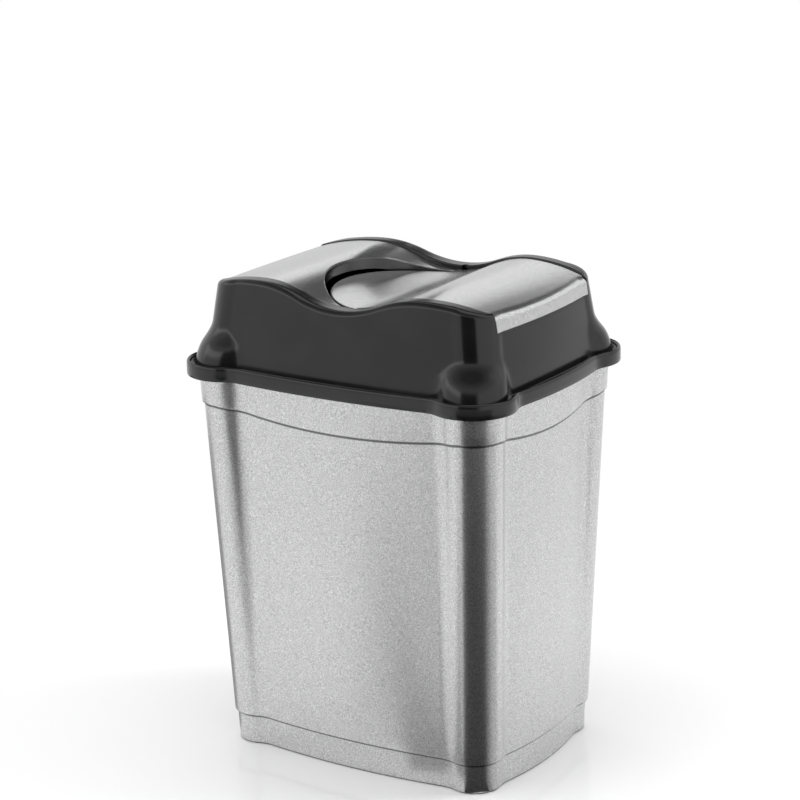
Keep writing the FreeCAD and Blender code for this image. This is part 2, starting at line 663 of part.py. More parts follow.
def cover_zone(name, gap, end, low, radius):
    """The left part of the opening, less the round room for the tongue."""
    left = block(name + "Half", f"-({reach})", end, "-skirt_width / 2", "skirt_width / 2", low, dome_top)
    sides = opening_prism(name + "Sides", gap, low)
    arch = upright_cylinder(name + "Arch", radius, "arch_center", "0", "bucket_height", dome_top)
    return less(name, shared(name + "Plan", sides, left), arch)


def make_cover(outer_forms, inner_forms):
    """Fixed silver panel with an arched edge, a short arch wall and four pegs."""
    under_seat = "seat_height - overrun"
    inside = "panel_gap + panel_wall"
    arch_back = "arch_radius + panel_wall"
    zone = cover_zone("CoverZone", "panel_gap", "cover_end", "seat_height", "arch_radius")
    inner_zone = cover_zone("CoverInnerZone", inside, "cover_end - panel_wall", under_seat, arch_back)
    shell = less("CoverShell", panel_piece("CoverOuter", outer_forms, zone, "panel_round"),
                 panel_piece("CoverInner", inner_forms, inner_zone, "panel_round - panel_wall"))

    # The arch wall hangs the same depth under the wave all along, between the cover's full-height sides.
    lip_block = upright_cylinder("ArchLipBlock", arch_back, "arch_center", "0", under_seat, dome_top)
    lip_bore = upright_cylinder("ArchLipBore", "arch_radius - panel_wall", "arch_center", "0",
                                f"{under_seat} - overrun", f"{dome_top} + overrun")
    lip_wave = wave_prism("ArchLipWave", f"{panel_crest} - arch_lip", f"{panel_valley} - arch_lip",
                          "bucket_height")
    lip_trim = shared("ArchLipZone", less("ArchLipTrim", lip_block, lip_bore), lip_wave,
                      opening_prism("ArchLipSides", inside, under_seat))

    pegs = []
    for number, (along, across) in enumerate(peg_places()):
        pegs.append(upright_cylinder(f"Peg{number}", "peg_radius", along, across,
                                     "seat_height - peg_length", panel_crest))
    skin_middle = wave_prism("PegWave", f"{panel_crest} - panel_wall / 2",
                             f"{panel_valley} - panel_wall / 2", "bucket_height")
    posts = shared("PegPosts", joined("PegsBlank", *pegs), skin_middle)
    cover = joined("LidCover", less("CoverTrimmed", shell, lip_trim), posts)
    cover.Label = "lid_cover"
    return cover


def make_flap(outer_forms, inner_forms):
    """Silver rocker panel with a press tongue, an end return and two trunnions."""
    flap_low = "seat_height + flap_lift"
    across = ("-skirt_width / 2", "skirt_width / 2")
    heights = ("bucket_height", dome_top)
    root = "cover_end + panel_gap"
    tongue_low = f"{panel_valley} - tongue_depth"
    plan = shared("FlapPlan", opening_prism("FlapSides", "panel_gap", flap_low),
                  block("FlapHalf", root, reach, *across, *heights))
    inner_sides = opening_prism("FlapInnerSides", "panel_gap + panel_wall", "seat_height")
    inner_plan = shared("FlapInnerPlan", inner_sides,
                        block("FlapInnerHalf", "pivot_place", reach, *across, *heights))
    tongue_half = block("TongueHalf", f"-({reach})", root, *across, *heights)
    hollow_half = block("TongueHollowHalf", f"-({reach})", f"{root} - panel_wall", *across, *heights)
    ramp = wave_prism("FlapRamp", panel_crest, panel_valley, tongue_low, "tongue_ramp")
    inner_ramp = wave_prism("FlapInnerRamp", f"{panel_crest} - panel_wall", f"{panel_valley} - panel_wall",
                            "seat_height", "tongue_ramp + panel_wall")
    tongue = upright_cylinder("Tongue", "tongue_radius", "arch_center", "0", *heights)
    hollow = upright_cylinder("TongueHollow", "tongue_radius - panel_wall", "arch_center", "0", *heights)
    outer = joined("FlapOuter", panel_piece("FlapRight", outer_forms, plan, "panel_round"),
                   shared("FlapTongue", tongue, tongue_half, ramp))
    inner = joined("FlapInner",
                   panel_piece("FlapInnerRight", inner_forms, inner_plan, "panel_round - panel_wall"),
                   shared("FlapTongueHollow", hollow, hollow_half, inner_ramp))
    shell = less("FlapShell", outer, inner)
    under = block("FlapRootUnder", f"-({reach})", "pivot_place", *across, "bucket_height", tongue_low)
    flap = less("FlapTrimmed", shell, under)
    trunnion_start = "opening_middle_width / 2 - panel_gap - trunnion_root"
    for side, name in ((-1, "Front"), (1, "Back")):
        ends = sorted((f"{side} * ({trunnion_tip})", f"{side} * ({trunnion_start})"), key=amount)
        flap = joined(f"FlapWith{name}", flap, pivot_cylinder(f"Trunnion{name}", "trunnion_radius", *ends))
    flap.Label = "lid_flap"
    return flap


bucket = make_bucket()
dome = dome_loft("Dome", "0")
frame = make_frame(dome)
outer_forms, inner_forms = panel_forms(dome)
cover = make_cover(outer_forms, inner_forms)
flap = make_flap(outer_forms, inner_forms)
doc.recompute()

for item in doc.Objects:
    if "Invalid" in item.State or "Error" in item.State:
        raise RuntimeError(f"{item.Name} failed: {item.State}")
os.makedirs("parts", exist_ok=True)
for item in (bucket, frame, cover, flap):
    shape = item.Shape
    if shape.isNull() or not shape.isValid():
        raise RuntimeError(f"{item.Label} has no valid shape")
    shape.exportStep(f"parts/{item.Label}.step")
    print(item.Label, "solids", len(shape.Solids), "faces", len(shape.Faces), "volume", round(shape.Volume))
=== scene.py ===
import math

import bmesh
import bpy
import numpy as np
from mathutils import Matrix, Vector


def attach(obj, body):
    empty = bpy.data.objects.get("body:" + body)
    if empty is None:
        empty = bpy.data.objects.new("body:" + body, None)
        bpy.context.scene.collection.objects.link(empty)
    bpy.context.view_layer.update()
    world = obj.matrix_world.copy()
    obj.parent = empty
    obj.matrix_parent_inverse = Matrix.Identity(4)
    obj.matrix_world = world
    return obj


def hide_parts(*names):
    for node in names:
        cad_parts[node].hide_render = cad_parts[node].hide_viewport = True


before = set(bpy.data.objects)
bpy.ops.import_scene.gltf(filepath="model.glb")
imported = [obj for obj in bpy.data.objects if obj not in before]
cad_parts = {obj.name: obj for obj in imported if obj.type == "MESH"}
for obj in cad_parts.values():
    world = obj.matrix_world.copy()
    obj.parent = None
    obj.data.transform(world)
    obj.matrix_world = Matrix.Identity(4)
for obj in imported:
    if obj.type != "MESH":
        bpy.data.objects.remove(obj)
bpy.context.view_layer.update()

scene = bpy.context.scene
mm = 0.001
weld = 0.00001  # points nearer than this, in metres, become one
hair = 1e-6  # slack when shares are compared
print("frame loaded")


# Shared drawing helpers. Sizes are written in millimetres and become metres when a mesh is made.

def placed(name, data):
    item = bpy.data.objects.new(name, data)
    scene.collection.objects.link(item)
    return item


def unit(vector):
    return vector / np.linalg.norm(vector)


def evenSteps(count):
    # Equal steps up to one, without the nought.
    return np.linspace(0, 1, count + 1)[1:]


def circleMeeting(centerA, reachA, centerB, reachB, side):
    apart = centerB - centerA
    gap = np.hypot(*apart)
    along = (reachA ** 2 - reachB ** 2 + gap ** 2) / (2 * gap)
    across = np.array([-apart[1], apart[0]]) * math.sqrt(reachA ** 2 - along ** 2) / gap
    foot = centerA + apart * along / gap
    return max(foot + across, foot - across, key=lambda point: float(point @ side))


def arcPoints(center, radius, first, last, count, hollow=False):
    start = math.atan2(*(first - center)[::-1])
    turn = math.atan2(*(last - center)[::-1]) - start
    turn = (turn + math.pi) % (2 * math.pi) - math.pi
    angles = start + turn * np.linspace(0, 1, count + 1)[:-1]
    outward = np.stack([np.cos(angles), np.sin(angles)], 1)
    return center + outward * radius, -outward if hollow else outward


arcCounts = (12, 10, 20, 10, 18)  # end, blend, column, blend, long side in one quarter


def outline(plan):
    # Closed plan of bowed sides and round corner columns, with the outward direction at each point.
    columnX, columnY = plan["length"] / 2 - plan["column"], plan["width"] / 2 - plan["column"]
    longR, endR = columnX ** 2 / (2 * plan["sideBow"]), columnY ** 2 / (2 * plan["endBow"])
    corner = np.array([columnX, columnY])
    longC = np.array([0.0, plan["middleWidth"] / 2 - longR])
    endC = np.array([plan["middleLength"] / 2 - endR, 0.0])
    reach = plan["column"] + plan["blend"]
    longBlend = circleMeeting(longC, longR + plan["blend"], corner, reach, np.array([0.0, 1.0]))
    endBlend = circleMeeting(endC, endR + plan["blend"], corner, reach, np.array([1.0, 0.0]))
    pieces = [
        arcPoints(endC, endR, endC + [endR, 0.0], endBlend, arcCounts[0]),
        arcPoints(endBlend, plan["blend"], endC, corner, arcCounts[1], hollow=True),
        arcPoints(corner, plan["column"], endBlend, longBlend, arcCounts[2]),
        arcPoints(longBlend, plan["blend"], corner, longC, arcCounts[3], hollow=True),
        arcPoints(longC, longR, longBlend, longC + [0.0, longR], arcCounts[4]),
    ]
    points = np.concatenate([piece[0] for piece in pieces] + [[[0.0, plan["middleWidth"] / 2]]])
    outward = np.concatenate([piece[1] for piece in pieces] + [[[0.0, 1.0]]])

    def allRound(quarter):
        left = quarter[:0:-1] * [-1, 1]
        return np.concatenate([quarter[:-1], left, -quarter[:-1], -left])
    return allRound(points), allRound(outward)


def gridFaces(rows, columns, closed=False):
    faces = []
    for row in range(rows - 1):
        for column in range(columns if closed else columns - 1):
            following = (column + 1) % columns
            faces.append((row * columns + column, row * columns + following,
                          (row + 1) * columns + following, (row + 1) * columns + column))
    return faces


def finishMesh(name, mesh, material, sharp=38):
    # Merge the seams, turn the faces outwards and keep real edges crisp.
    work = bmesh.new()
    work.from_mesh(mesh)
    bmesh.ops.remove_doubles(work, verts=work.verts, dist=weld)
    bmesh.ops.dissolve_degenerate(work, edges=work.edges, dist=weld)
    bmesh.ops.recalc_face_normals(work, faces=work.faces)
    work.to_mesh(mesh)
    work.free()
    mesh.shade_smooth()
    mesh.set_sharp_from_angle(angle=math.radians(sharp))
    mesh.materials.clear()
    mesh.materials.append(material)
    return placed(name, mesh)


def meshFrom(name, parts):
    # One mesh out of several (points in mm, faces) parts.
    points, faces, start = [], [], 0
    for partPoints, partFaces in parts:
        partPoints = np.asarray(partPoints, float).reshape(-1, 3)
        points.append(partPoints * mm)
        faces += [tuple(start + corner for corner in face) for face in partFaces]
        start += len(partPoints)
    mesh = bpy.data.meshes.new(name)
    mesh.from_pydata(np.concatenate(points).tolist(), [], faces)
    return mesh


def evaluated(piece):
    # The piece with its modifiers worked in, as a plain mesh.
    bpy.context.view_layer.update()
    graph = bpy.context.evaluated_depsgraph_get()
    mesh = bpy.data.meshes.new_from_object(piece.evaluated_get(graph))
    piece.modifiers.clear()
    return mesh


def wave(x, crest, valley, half, shoulder):
    # Height of the lid's top: a dip in the middle, a crest at each half and a fall to the ends.
    x = np.abs(np.asarray(x, float))
    rise = crest - valley
    bend = (half ** 2 + rise ** 2) / (4 * rise)
    dip = valley + bend - np.sqrt(np.maximum(bend ** 2 - np.minimum(x, half / 2) ** 2, 0))
    inner = crest - bend + np.sqrt(np.maximum(bend ** 2 - np.clip(half - x, 0, half / 2) ** 2, 0))
    outer = crest - shoulder + np.sqrt(np.maximum(shoulder ** 2 - np.maximum(x - half, 0) ** 2, 0))
    return np.where(x < half / 2, dip, np.where(x < half, inner, outer))


def roundOver(peak, up, inward, radius, turns):
    # A round that leads from one direction into another under a sharp peak: where it starts, its points.
    bend = math.acos(float(up @ inward))
    start = peak - up * radius * math.tan(bend / 2)
    normal = unit(inward - up * float(up @ inward))
    heart = start + normal * radius
    return start, [heart - normal * radius * math.cos(turn) + up * radius * math.sin(turn)
                   for turn in np.linspace(0, bend, turns + 1)]


# Node helpers and finishes

def fill(tree, node, inputs):
    # Inputs by name or number: a socket is linked, anything else is set.
    for key, value in inputs.items():
        if isinstance(value, bpy.types.NodeSocket):
            tree.links.new(value, node.inputs[key])
        else:
            node.inputs[key].default_value = value
    return node


def addNode(tree, kind, inputs=None, **options):
    node = tree.nodes.new(kind)
    for name, value in options.items():
        setattr(node, name, value)
    return fill(tree, node, inputs or {})


def blankMaterial(name):
    material = bpy.data.materials.new(name)
    material.use_nodes = True
    tree = material.node_tree
    shader = next(node for node in tree.nodes if node.type == "BSDF_PRINCIPLED")
    return material, tree, shader


def objectPlace(tree):
    return addNode(tree, "ShaderNodeTexCoord").outputs["Object"]


def noiseOf(tree, place, values):
    inputs = dict(zip(("Scale", "Detail", "Roughness"), values), Vector=place)
    return addNode(tree, "ShaderNodeTexNoise", inputs).outputs["Fac"]


def rangeOf(tree, value, low, high):
    inputs = {"Value": value, "To Min": low, "To Max": high}
    return addNode(tree, "ShaderNodeMapRange", inputs).outputs["Result"]


def rampOf(tree, value, look):
    node = addNode(tree, "ShaderNodeValToRGB", {"Fac": value})
    for number, tone in enumerate(("dark", "light")):
        node.color_ramp.elements[number].position = look["spread"][number]
        node.color_ramp.elements[number].color = (*look[tone], 1)
    return node.outputs["Color"]


def dress(tree, shader, look, color, haze, grain):
    # Colour, uneven gloss and fine bump, which all the finishes have.
    gloss = rangeOf(tree, haze, look["rough"] - look["roughVary"], look["rough"] + look["roughVary"])
    bump = addNode(tree, "ShaderNodeBump",
                   {"Height": grain, "Strength": look["bump"], "Distance": look["bumpDepth"]})
    fill(tree, shader, {"Base Color": color, "Roughness": gloss, "Normal": bump.outputs["Normal"],
                        **look["shader"]})


def speckledSilver(name, look):
    material, tree, shader = blankMaterial(name)
    place = objectPlace(tree)
    grain, cloud = noiseOf(tree, place, look["grain"]), noiseOf(tree, place, look["cloud"])
    flake = addNode(tree, "ShaderNodeTexVoronoi", {"Vector": place, "Scale": look["flake"]})
    tint = addNode(tree, "ShaderNodeSeparateColor", {"Color": flake.outputs["Color"]})
    spark = rangeOf(tree, tint.outputs["Red"], 1 - look["spark"], 1 + look["spark"])
    # Painted shade: the mark stored on the mesh takes the colour down to the shade level, on the bucket's
    # shadowed lines and on the cover's arch wall.
    line = addNode(tree, "ShaderNodeAttribute", attribute_name="crease")
    shadow = rangeOf(tree, line.outputs["Fac"], 1.0, look["paintedShadeLevel"])
    level = addNode(tree, "ShaderNodeMath", {0: spark, 1: shadow}, operation="MULTIPLY")
    color = addNode(tree, "ShaderNodeVectorMath", {0: rampOf(tree, grain, look), "Scale": level.outputs[0]},
                    operation="SCALE")
    dress(tree, shader, look, color.outputs["Vector"], cloud, grain)
    return material


def blackGloss(name, look):
    material, tree, shader = blankMaterial(name)
    place = objectPlace(tree)
    peel, haze = noiseOf(tree, place, look["peel"]), noiseOf(tree, place, look["haze"])
    dress(tree, shader, look, rampOf(tree, haze, look), haze, peel)
    return material


# Each noise has a scale, a detail and a roughness.
speckle = {"spread": (0.34, 0.68), "roughVary": 0.02, "bumpDepth": 0.0002}
# The shade level is the share of colour left where the painted shade mark is full.
bucketFinish = speckledSilver("bucketSpeckle", {
    **speckle, "grain": (1100.0, 2.0, 0.7), "cloud": (18.0, 3.0, 0.5), "flake": 1300.0, "spark": 0.12,
    "dark": (0.43, 0.43, 0.435), "light": (0.79, 0.79, 0.795), "paintedShadeLevel": 0.25, "rough": 0.3,
    "bump": 0.04, "shader": {"Metallic": 0.95, "Coat Weight": 0.05, "Coat Roughness": 0.25}})
panelFinish = speckledSilver("panelSilver", {
    **speckle, "grain": (1150.0, 2.0, 0.7), "cloud": (20.0, 3.0, 0.5), "flake": 1400.0, "spark": 0.1,
    "dark": (0.54, 0.54, 0.545), "light": (0.80, 0.80, 0.805), "paintedShadeLevel": 0.18, "rough": 0.2,
    "bump": 0.05, "shader": {"Metallic": 0.95, "Coat Weight": 0.15, "Coat Roughness": 0.06}})
lidFinish = blackGloss("lidBlack", {
    "peel": (260.0, 2.0, 0.5), "haze": (30.0, 4.0, 0.5), "spread": (0.35, 0.7),
    "dark": (0.006, 0.006, 0.0065), "light": (0.010, 0.010, 0.0105),
    "rough": 0.2, "roughVary": 0.03, "bump": 0.02, "bumpDepth": 0.0005,
    "shader": {"Specular IOR Level": 0.5}})
print("finishes made")


# Skirt outline, shared by the bucket's rim and the lid

bows = {"blend": 24.0, "sideBow": 8.0, "endBow": 8.0}
skirt = {**bows, "length": 281.6, "width": 220.2, "column": 32.0, "endProud": 8.3, "sideProud": 9.1}


def proudPlan(plan):
    # Plan of an outline whose columns stand proud of the sides' ends.
    return {**plan, "middleLength": plan["length"] + 2 * (plan["endBow"] - plan["endProud"]),
            "middleWidth": plan["width"] + 2 * (plan["sideBow"] - plan["sideProud"])}


skirtPoints, skirtOutward = outline(proudPlan(skirt))

# Bucket: one profile swept round an outline that tapers from top to foot

bucket = {
    "height": 306.0, "collarDip": 8.0, "dipLength": 108.35, "dipWidth": 77.5, "sharp": 50,
    "foot": {**bows, "length": 238.0, "width": 172.8, "column": 22.0, "endProud": 3.4, "sideProud": 5.2},
    "top": {**bows, "length": 260.7, "width": 199.0, "column": 22.0, "endProud": 9.0, "sideProud": 10.0},
    # heights of the painted shade lines, coloured darker where shade falls: the foot, the plinth's step and
    # the collar's edge
    "shadeLineHeights": ((0.0, 0.7), (22.8, 24.35), (276.5, 278.4)),
    # inset, height; then, as far as needed, collar dip, share of the rim's outline, share drawn inwards
    "profile": [
        (9, 3, 0, 0, 1), (9, 3, 0, 0, 0.6), (9, 3, 0, 0, 0.2), (9.3, 3), (9, 2.7), (9, 0.3), (8.7, 0),
        (3.4, 0), (2.7, 0.15), (2.2, 0.6), (2, 1.4), (2, 8), (2, 16), (2, 22.2), (2, 22.9), (2, 23.3),
        (1.9, 23.8), (1.6, 24), (0.6, 24.05), (0.15, 24.3), (0, 24.9), (0, 32), (0, 70), (0, 120), (0, 170),
        (0, 215), (0, 250), (0, 268, 0.6), (0, 275.9, 1), (0, 276.6, 1), (0, 277.2, 1), (-0.1, 277.75, 1),
        (-0.45, 278, 1), (-1.1, 278.05, 1), (-1.5, 278.3, 1), (-1.6, 278.9, 1), (-1.6, 287, 0.4),
        (-1.6, 296), (-1.6, 302.8), (-2.4, 303.8), (5.7, 303.8, 0, 1), (5.2, 303.3, 0, 1),
        (5.2, 300.7, 0, 1), (4.9, 300.5, 0, 1), (3.3, 300.5, 0, 1), (3, 300.8, 0, 1), (3, 305.2, 0, 1),
        (3.25, 305.75, 0, 1), (3.8, 306, 0, 1), (1.6, 306), (2.05, 305.8), (2.2, 305.3), (2.3, 291),
        (2.7, 231), (3.1, 171), (3.5, 111), (3.9, 51), (4.15, 13), (4.5, 8.5), (5.6, 6.4), (7.5, 5.7),
        (9.5, 5.6), (9.5, 5.6, 0, 0, 0.3), (9.5, 5.6, 0, 0, 0.7), (9.5, 5.6, 0, 0, 1)],
}


def lineObject(name, points, attributes):
    # A chain of points in metres for the sweep, with its values stored on the points.
    mesh = bpy.data.meshes.new(name)
    mesh.from_pydata((np.asarray(points, float) * mm).tolist(), [], [])
    for title, values in attributes.items():
        values = np.asarray(values, np.float32)
        kind, field = ("FLOAT_VECTOR", "vector") if values.ndim == 2 else ("FLOAT", "value")
        mesh.attributes.new(title, kind, "POINT").data.foreach_set(field, values.ravel())
    return placed(name, mesh)


def outlineObject(name, points, outward):
    flat = np.zeros((len(points), 1))
    return lineObject(name, np.hstack([points, flat]), {"outward": np.hstack([outward, flat])})


def sweepTree():
    # Sweeps the profile on the object round the outlines, which blend with the height.
    tree = bpy.data.node_groups.new("taperedSweep", "GeometryNodeTree")
    outlines = ("Foot Outline", "Top Outline", "Rim Outline")
    kinds = {"Profile": "Geometry", **dict.fromkeys(outlines, "Object"), "Height": "Float",
             "Collar Dip": "Float", "Dip Half Length": "Float", "Dip Half Width": "Float",
             "Around": "Int", "Finish": "Material"}
    for title, kind in kinds.items():
        tree.interface.new_socket(title, in_out="INPUT", socket_type="NodeSocket" + kind)
    tree.interface.new_socket("Shell", in_out="OUTPUT", socket_type="NodeSocketGeometry")
    given = addNode(tree, "NodeGroupInput").outputs

    def calc(operation, first, second=0.0):
        return addNode(tree, "ShaderNodeMath", {0: first, 1: second}, operation=operation).outputs[0]

    def vector(operation, inputs):
        return addNode(tree, "ShaderNodeVectorMath", inputs, operation=operation).outputs[0]

    def between(first, second, share):
        step = vector("SUBTRACT", {0: second, 1: first})
        return vector("ADD", {0: first, 1: vector("SCALE", {0: step, "Scale": share})})

    def split(value):
        return addNode(tree, "ShaderNodeSeparateXYZ", {0: value}).outputs

    def stored(title, kind):
        return addNode(tree, "GeometryNodeInputNamedAttribute", {"Name": title}, data_type=kind).outputs[0]

    def sampled(geometry, value, index, kind):
        inputs = {"Geometry": geometry, "Value": value, "Index": index}
        return addNode(tree, "GeometryNodeSampleIndex", inputs, data_type=kind).outputs[0]

    position = addNode(tree, "GeometryNodeInputPosition").outputs[0]
    index = addNode(tree, "GeometryNodeInputIndex").outputs[0]
    steps = addNode(tree, "GeometryNodeAttributeDomainSize", {0: given["Profile"]}).outputs["Point Count"]
    columns = calc("ADD", given["Around"], 1.0)
    shell = addNode(tree, "GeometryNodeMeshGrid", {"Vertices X": columns, "Vertices Y": steps}).outputs[0]
    step = calc("MODULO", index, steps)
    column = calc("FLOOR", calc("DIVIDE", calc("ADD", index, 0.5), steps))
    place = calc("MODULO", column, given["Around"])

    profilePlace = split(sampled(given["Profile"], position, step, "FLOAT_VECTOR"))
    inset, height = profilePlace[0], profilePlace[2]
    dip, rim, drawn, crease = (sampled(given["Profile"], stored(title, "FLOAT"), step, "FLOAT")
                               for title in ("dip", "rim", "drawn", "crease"))
    spots, outs = [], []
    for title in outlines:
        line = addNode(tree, "GeometryNodeObjectInfo", {0: given[title]}).outputs["Geometry"]
        spots.append(sampled(line, position, place, "FLOAT_VECTOR"))
        outs.append(sampled(line, stored("outward", "FLOAT_VECTOR"), place, "FLOAT_VECTOR"))

    # The collar's lower edge dips in the middle of each side.
    bows = []
    for value, half in zip(split(spots[1]), (given["Dip Half Length"], given["Dip Half Width"])):
        reach = calc("DIVIDE", calc("ABSOLUTE", value), half)
        bows.append(calc("SUBTRACT", 1.0, calc("POWER", reach, 2.0)))
    bow = calc("MAXIMUM", calc("MAXIMUM", *bows), 0.0)
    drop = calc("MULTIPLY", calc("MULTIPLY", dip, given["Collar Dip"]), bow)
    level = calc("SUBTRACT", height, drop)
    share = calc("DIVIDE", level, given["Height"])
    spot = between(between(spots[0], spots[1], share), spots[2], rim)
    out = vector("NORMALIZE", {0: between(between(outs[0], outs[1], share), outs[2], rim)})
    spot = vector("SUBTRACT", {0: spot, 1: vector("SCALE", {0: out, "Scale": inset})})
    flat = split(vector("SCALE", {0: spot, "Scale": calc("SUBTRACT", 1.0, drawn)}))
    final = addNode(tree, "ShaderNodeCombineXYZ", {0: flat[0], 1: flat[1], 2: level}).outputs[0]

    # The painted shade mark is kept on the shell for the material.
    shell = addNode(tree, "GeometryNodeStoreNamedAttribute",
                    {"Geometry": shell, "Name": "crease", "Value": crease}, data_type="FLOAT").outputs[0]
    for kind, inputs in (("SetPosition", {"Position": final}), ("MergeByDistance", {"Distance": weld}),
                         ("SetMaterial", {"Material": given["Finish"]})):
        shell = addNode(tree, "GeometryNode" + kind, {"Geometry": shell, **inputs}).outputs[0]
    addNode(tree, "NodeGroupOutput", {0: shell})
    return tree


def makeBucket(sizes):
    rows = [(*row, 0, 0, 0)[:5] for row in sizes["profile"]]
    inset, height, dip, rim, drawn = np.array(rows, float).T
    # painted shade: rows within those heights get the mark that darkens their colour
    crease = np.any([(low <= height) & (height <= high) for low, high in sizes["shadeLineHeights"]], axis=0)
    chain = lineObject("bucketProfile", np.stack([inset, np.zeros_like(inset), height], 1),
                       {"dip": dip, "rim": rim, "drawn": drawn, "crease": crease})
    footLine = outlineObject("footOutline", *outline(proudPlan(sizes["foot"])))
    topLine = outlineObject("topOutline", *outline(proudPlan(sizes["top"])))
    rimLine = outlineObject("rimOutline", skirtPoints, skirtOutward)
    tree = sweepTree()
    sweep = chain.modifiers.new("sweep", "NODES")
    sweep.node_group = tree
    settings = {"Foot Outline": footLine, "Top Outline": topLine, "Rim Outline": rimLine,
                "Height": sizes["height"] * mm, "Collar Dip": sizes["collarDip"] * mm,
                "Dip Half Length": sizes["dipLength"] * mm, "Dip Half Width": sizes["dipWidth"] * mm,
                "Around": len(skirtPoints), "Finish": bucketFinish}
    for socket in tree.interface.items_tree:
        if socket.in_out == "INPUT" and socket.name in settings:
            sweep[socket.identifier] = settings[socket.name]
    mesh = evaluated(chain)
    for item in (chain, footLine, topLine, rimLine):
        bpy.data.objects.remove(item)
    mesh.name = "bucketShell"
    return finishMesh("bucketShell", mesh, bucketFinish, sizes["sharp"])


bucketShell = makeBucket(bucket)
print("bucket swept", len(bucketShell.data.vertices))

# Lid: dome, wave and opening, used by the frame and by both panels

lid = {
    "gutterFloor": 308.2, "domeHeight": 73.0, "draft": 9.1, "length": 257.8, "width": 186.0, "proud": 0.8,
    "column": 22.0, "blend": 20.0, "sideBow": 7.0, "endBow": 4.0, "capLength": 268.6, "capWidth": 207.2,
    "capColumn": 25.5, "capHeight": 31.8, "capHeights": (0.0, 0.31, 0.5, 0.685, 0.84, 1.0),
    "capReaches": (1.0, 0.9, 0.69, 0.32, 0.08, 0.0),
    "waveHalf": 70.0, "crest": 376.5, "valley": 363.0, "shoulder": 170.0,
    "panelCrest": 375.7, "panelValley": 359.5, "panelShoulder": 169.2,
    "openHalf": 77.0, "openBow": 10.0, "openPast": 4.0, "seat": 355.0,
    # rings of the dome: start under the gutter, number in the caps, start and number above them
    "ringBelow": 4.0, "capRings": 40, "upperFrom": 342.0, "upperRings": 12,
}


def capShare(rise):
    # Smooth run through the cap's shares.
    knots, reaches = np.array(lid["capHeights"]) * lid["capHeight"], np.array(lid["capReaches"])
    slopes = np.gradient(reaches, knots)
    slopes[0] = slopes[-1] = 0.0
    rise = min(max(rise, 0.0), lid["capHeight"])
    at = min(int(np.searchsorted(knots, rise, side="right")) - 1, len(knots) - 2)
    width = knots[at + 1] - knots[at]
    t = (rise - knots[at]) / width
    return ((2 * t ** 3 - 3 * t ** 2 + 1) * reaches[at] + (t ** 3 - 2 * t ** 2 + t) * width * slopes[at]
            + (3 * t ** 2 - 2 * t ** 3) * reaches[at + 1] + (t ** 3 - t ** 2) * width * slopes[at + 1])


def domeOutline(z):
    rise = z - lid["gutterFloor"]
    cap = capShare(rise)
    narrow = 2 * rise / lid["domeHeight"] * lid["draft"]
    return outline({
        "length": lid["length"] + (lid["capLength"] - lid["length"]) * cap - narrow,
        "width": lid["width"] + (lid["capWidth"] - lid["width"]) * cap - narrow,
        "column": lid["column"] + (lid["capColumn"] - lid["column"]) * cap, "blend": lid["blend"],
        "sideBow": lid["sideBow"], "endBow": lid["endBow"],
        "middleLength": lid["length"] + 2 * (lid["endBow"] - lid["proud"]) - narrow,
        "middleWidth": lid["width"] + 2 * (lid["sideBow"] - lid["proud"]) - narrow})


def domeLevels():
    floor = lid["gutterFloor"]
    return np.concatenate([
        np.linspace(floor - lid["ringBelow"], floor + lid["capHeight"], lid["capRings"]),
        np.linspace(lid["upperFrom"], floor + lid["domeHeight"], lid["upperRings"])])


domeHeights = domeLevels()
domeRings = [domeOutline(z) for z in domeHeights]
domeSpots = np.stack([ring[0] for ring in domeRings])
domeOuts = np.stack([ring[1] for ring in domeRings])
around = domeSpots.shape[1]


def pick(table, column):
    # A column of a table of rings at a whole or part index.
    low = int(math.floor(column))
    share = column - low
    return table[..., low % around, :] * (1 - share) + table[..., (low + 1) % around, :] * share


def domeAt(column, z, inset=0.0):
    spots, outs = pick(domeSpots, column), pick(domeOuts, column)
    spot = np.array([np.interp(z, domeHeights, spots[:, axis]) for axis in (0, 1)])
    out = np.array([np.interp(z, domeHeights, outs[:, axis]) for axis in (0, 1)])
    return spot - out / np.hypot(*out) * inset


def frameWave(x):
    return wave(x, lid["crest"], lid["valley"], lid["waveHalf"], lid["shoulder"])


def panelWave(x):
    return wave(x, lid["panelCrest"], lid["panelValley"], lid["waveHalf"], lid["panelShoulder"])


def openSide(x, inset=0.0):
    # Half width of the opening for the panels, whose sides are bowed.
    reach = lid["length"] / 2
    bend = (reach ** 2 + lid["openBow"] ** 2) / (2 * lid["openBow"])
    return lid["openHalf"] - bend + math.sqrt((bend - inset) ** 2 - min(abs(x), reach + lid["openPast"]) ** 2)


# Lid frame: a closed section at every place round the lid

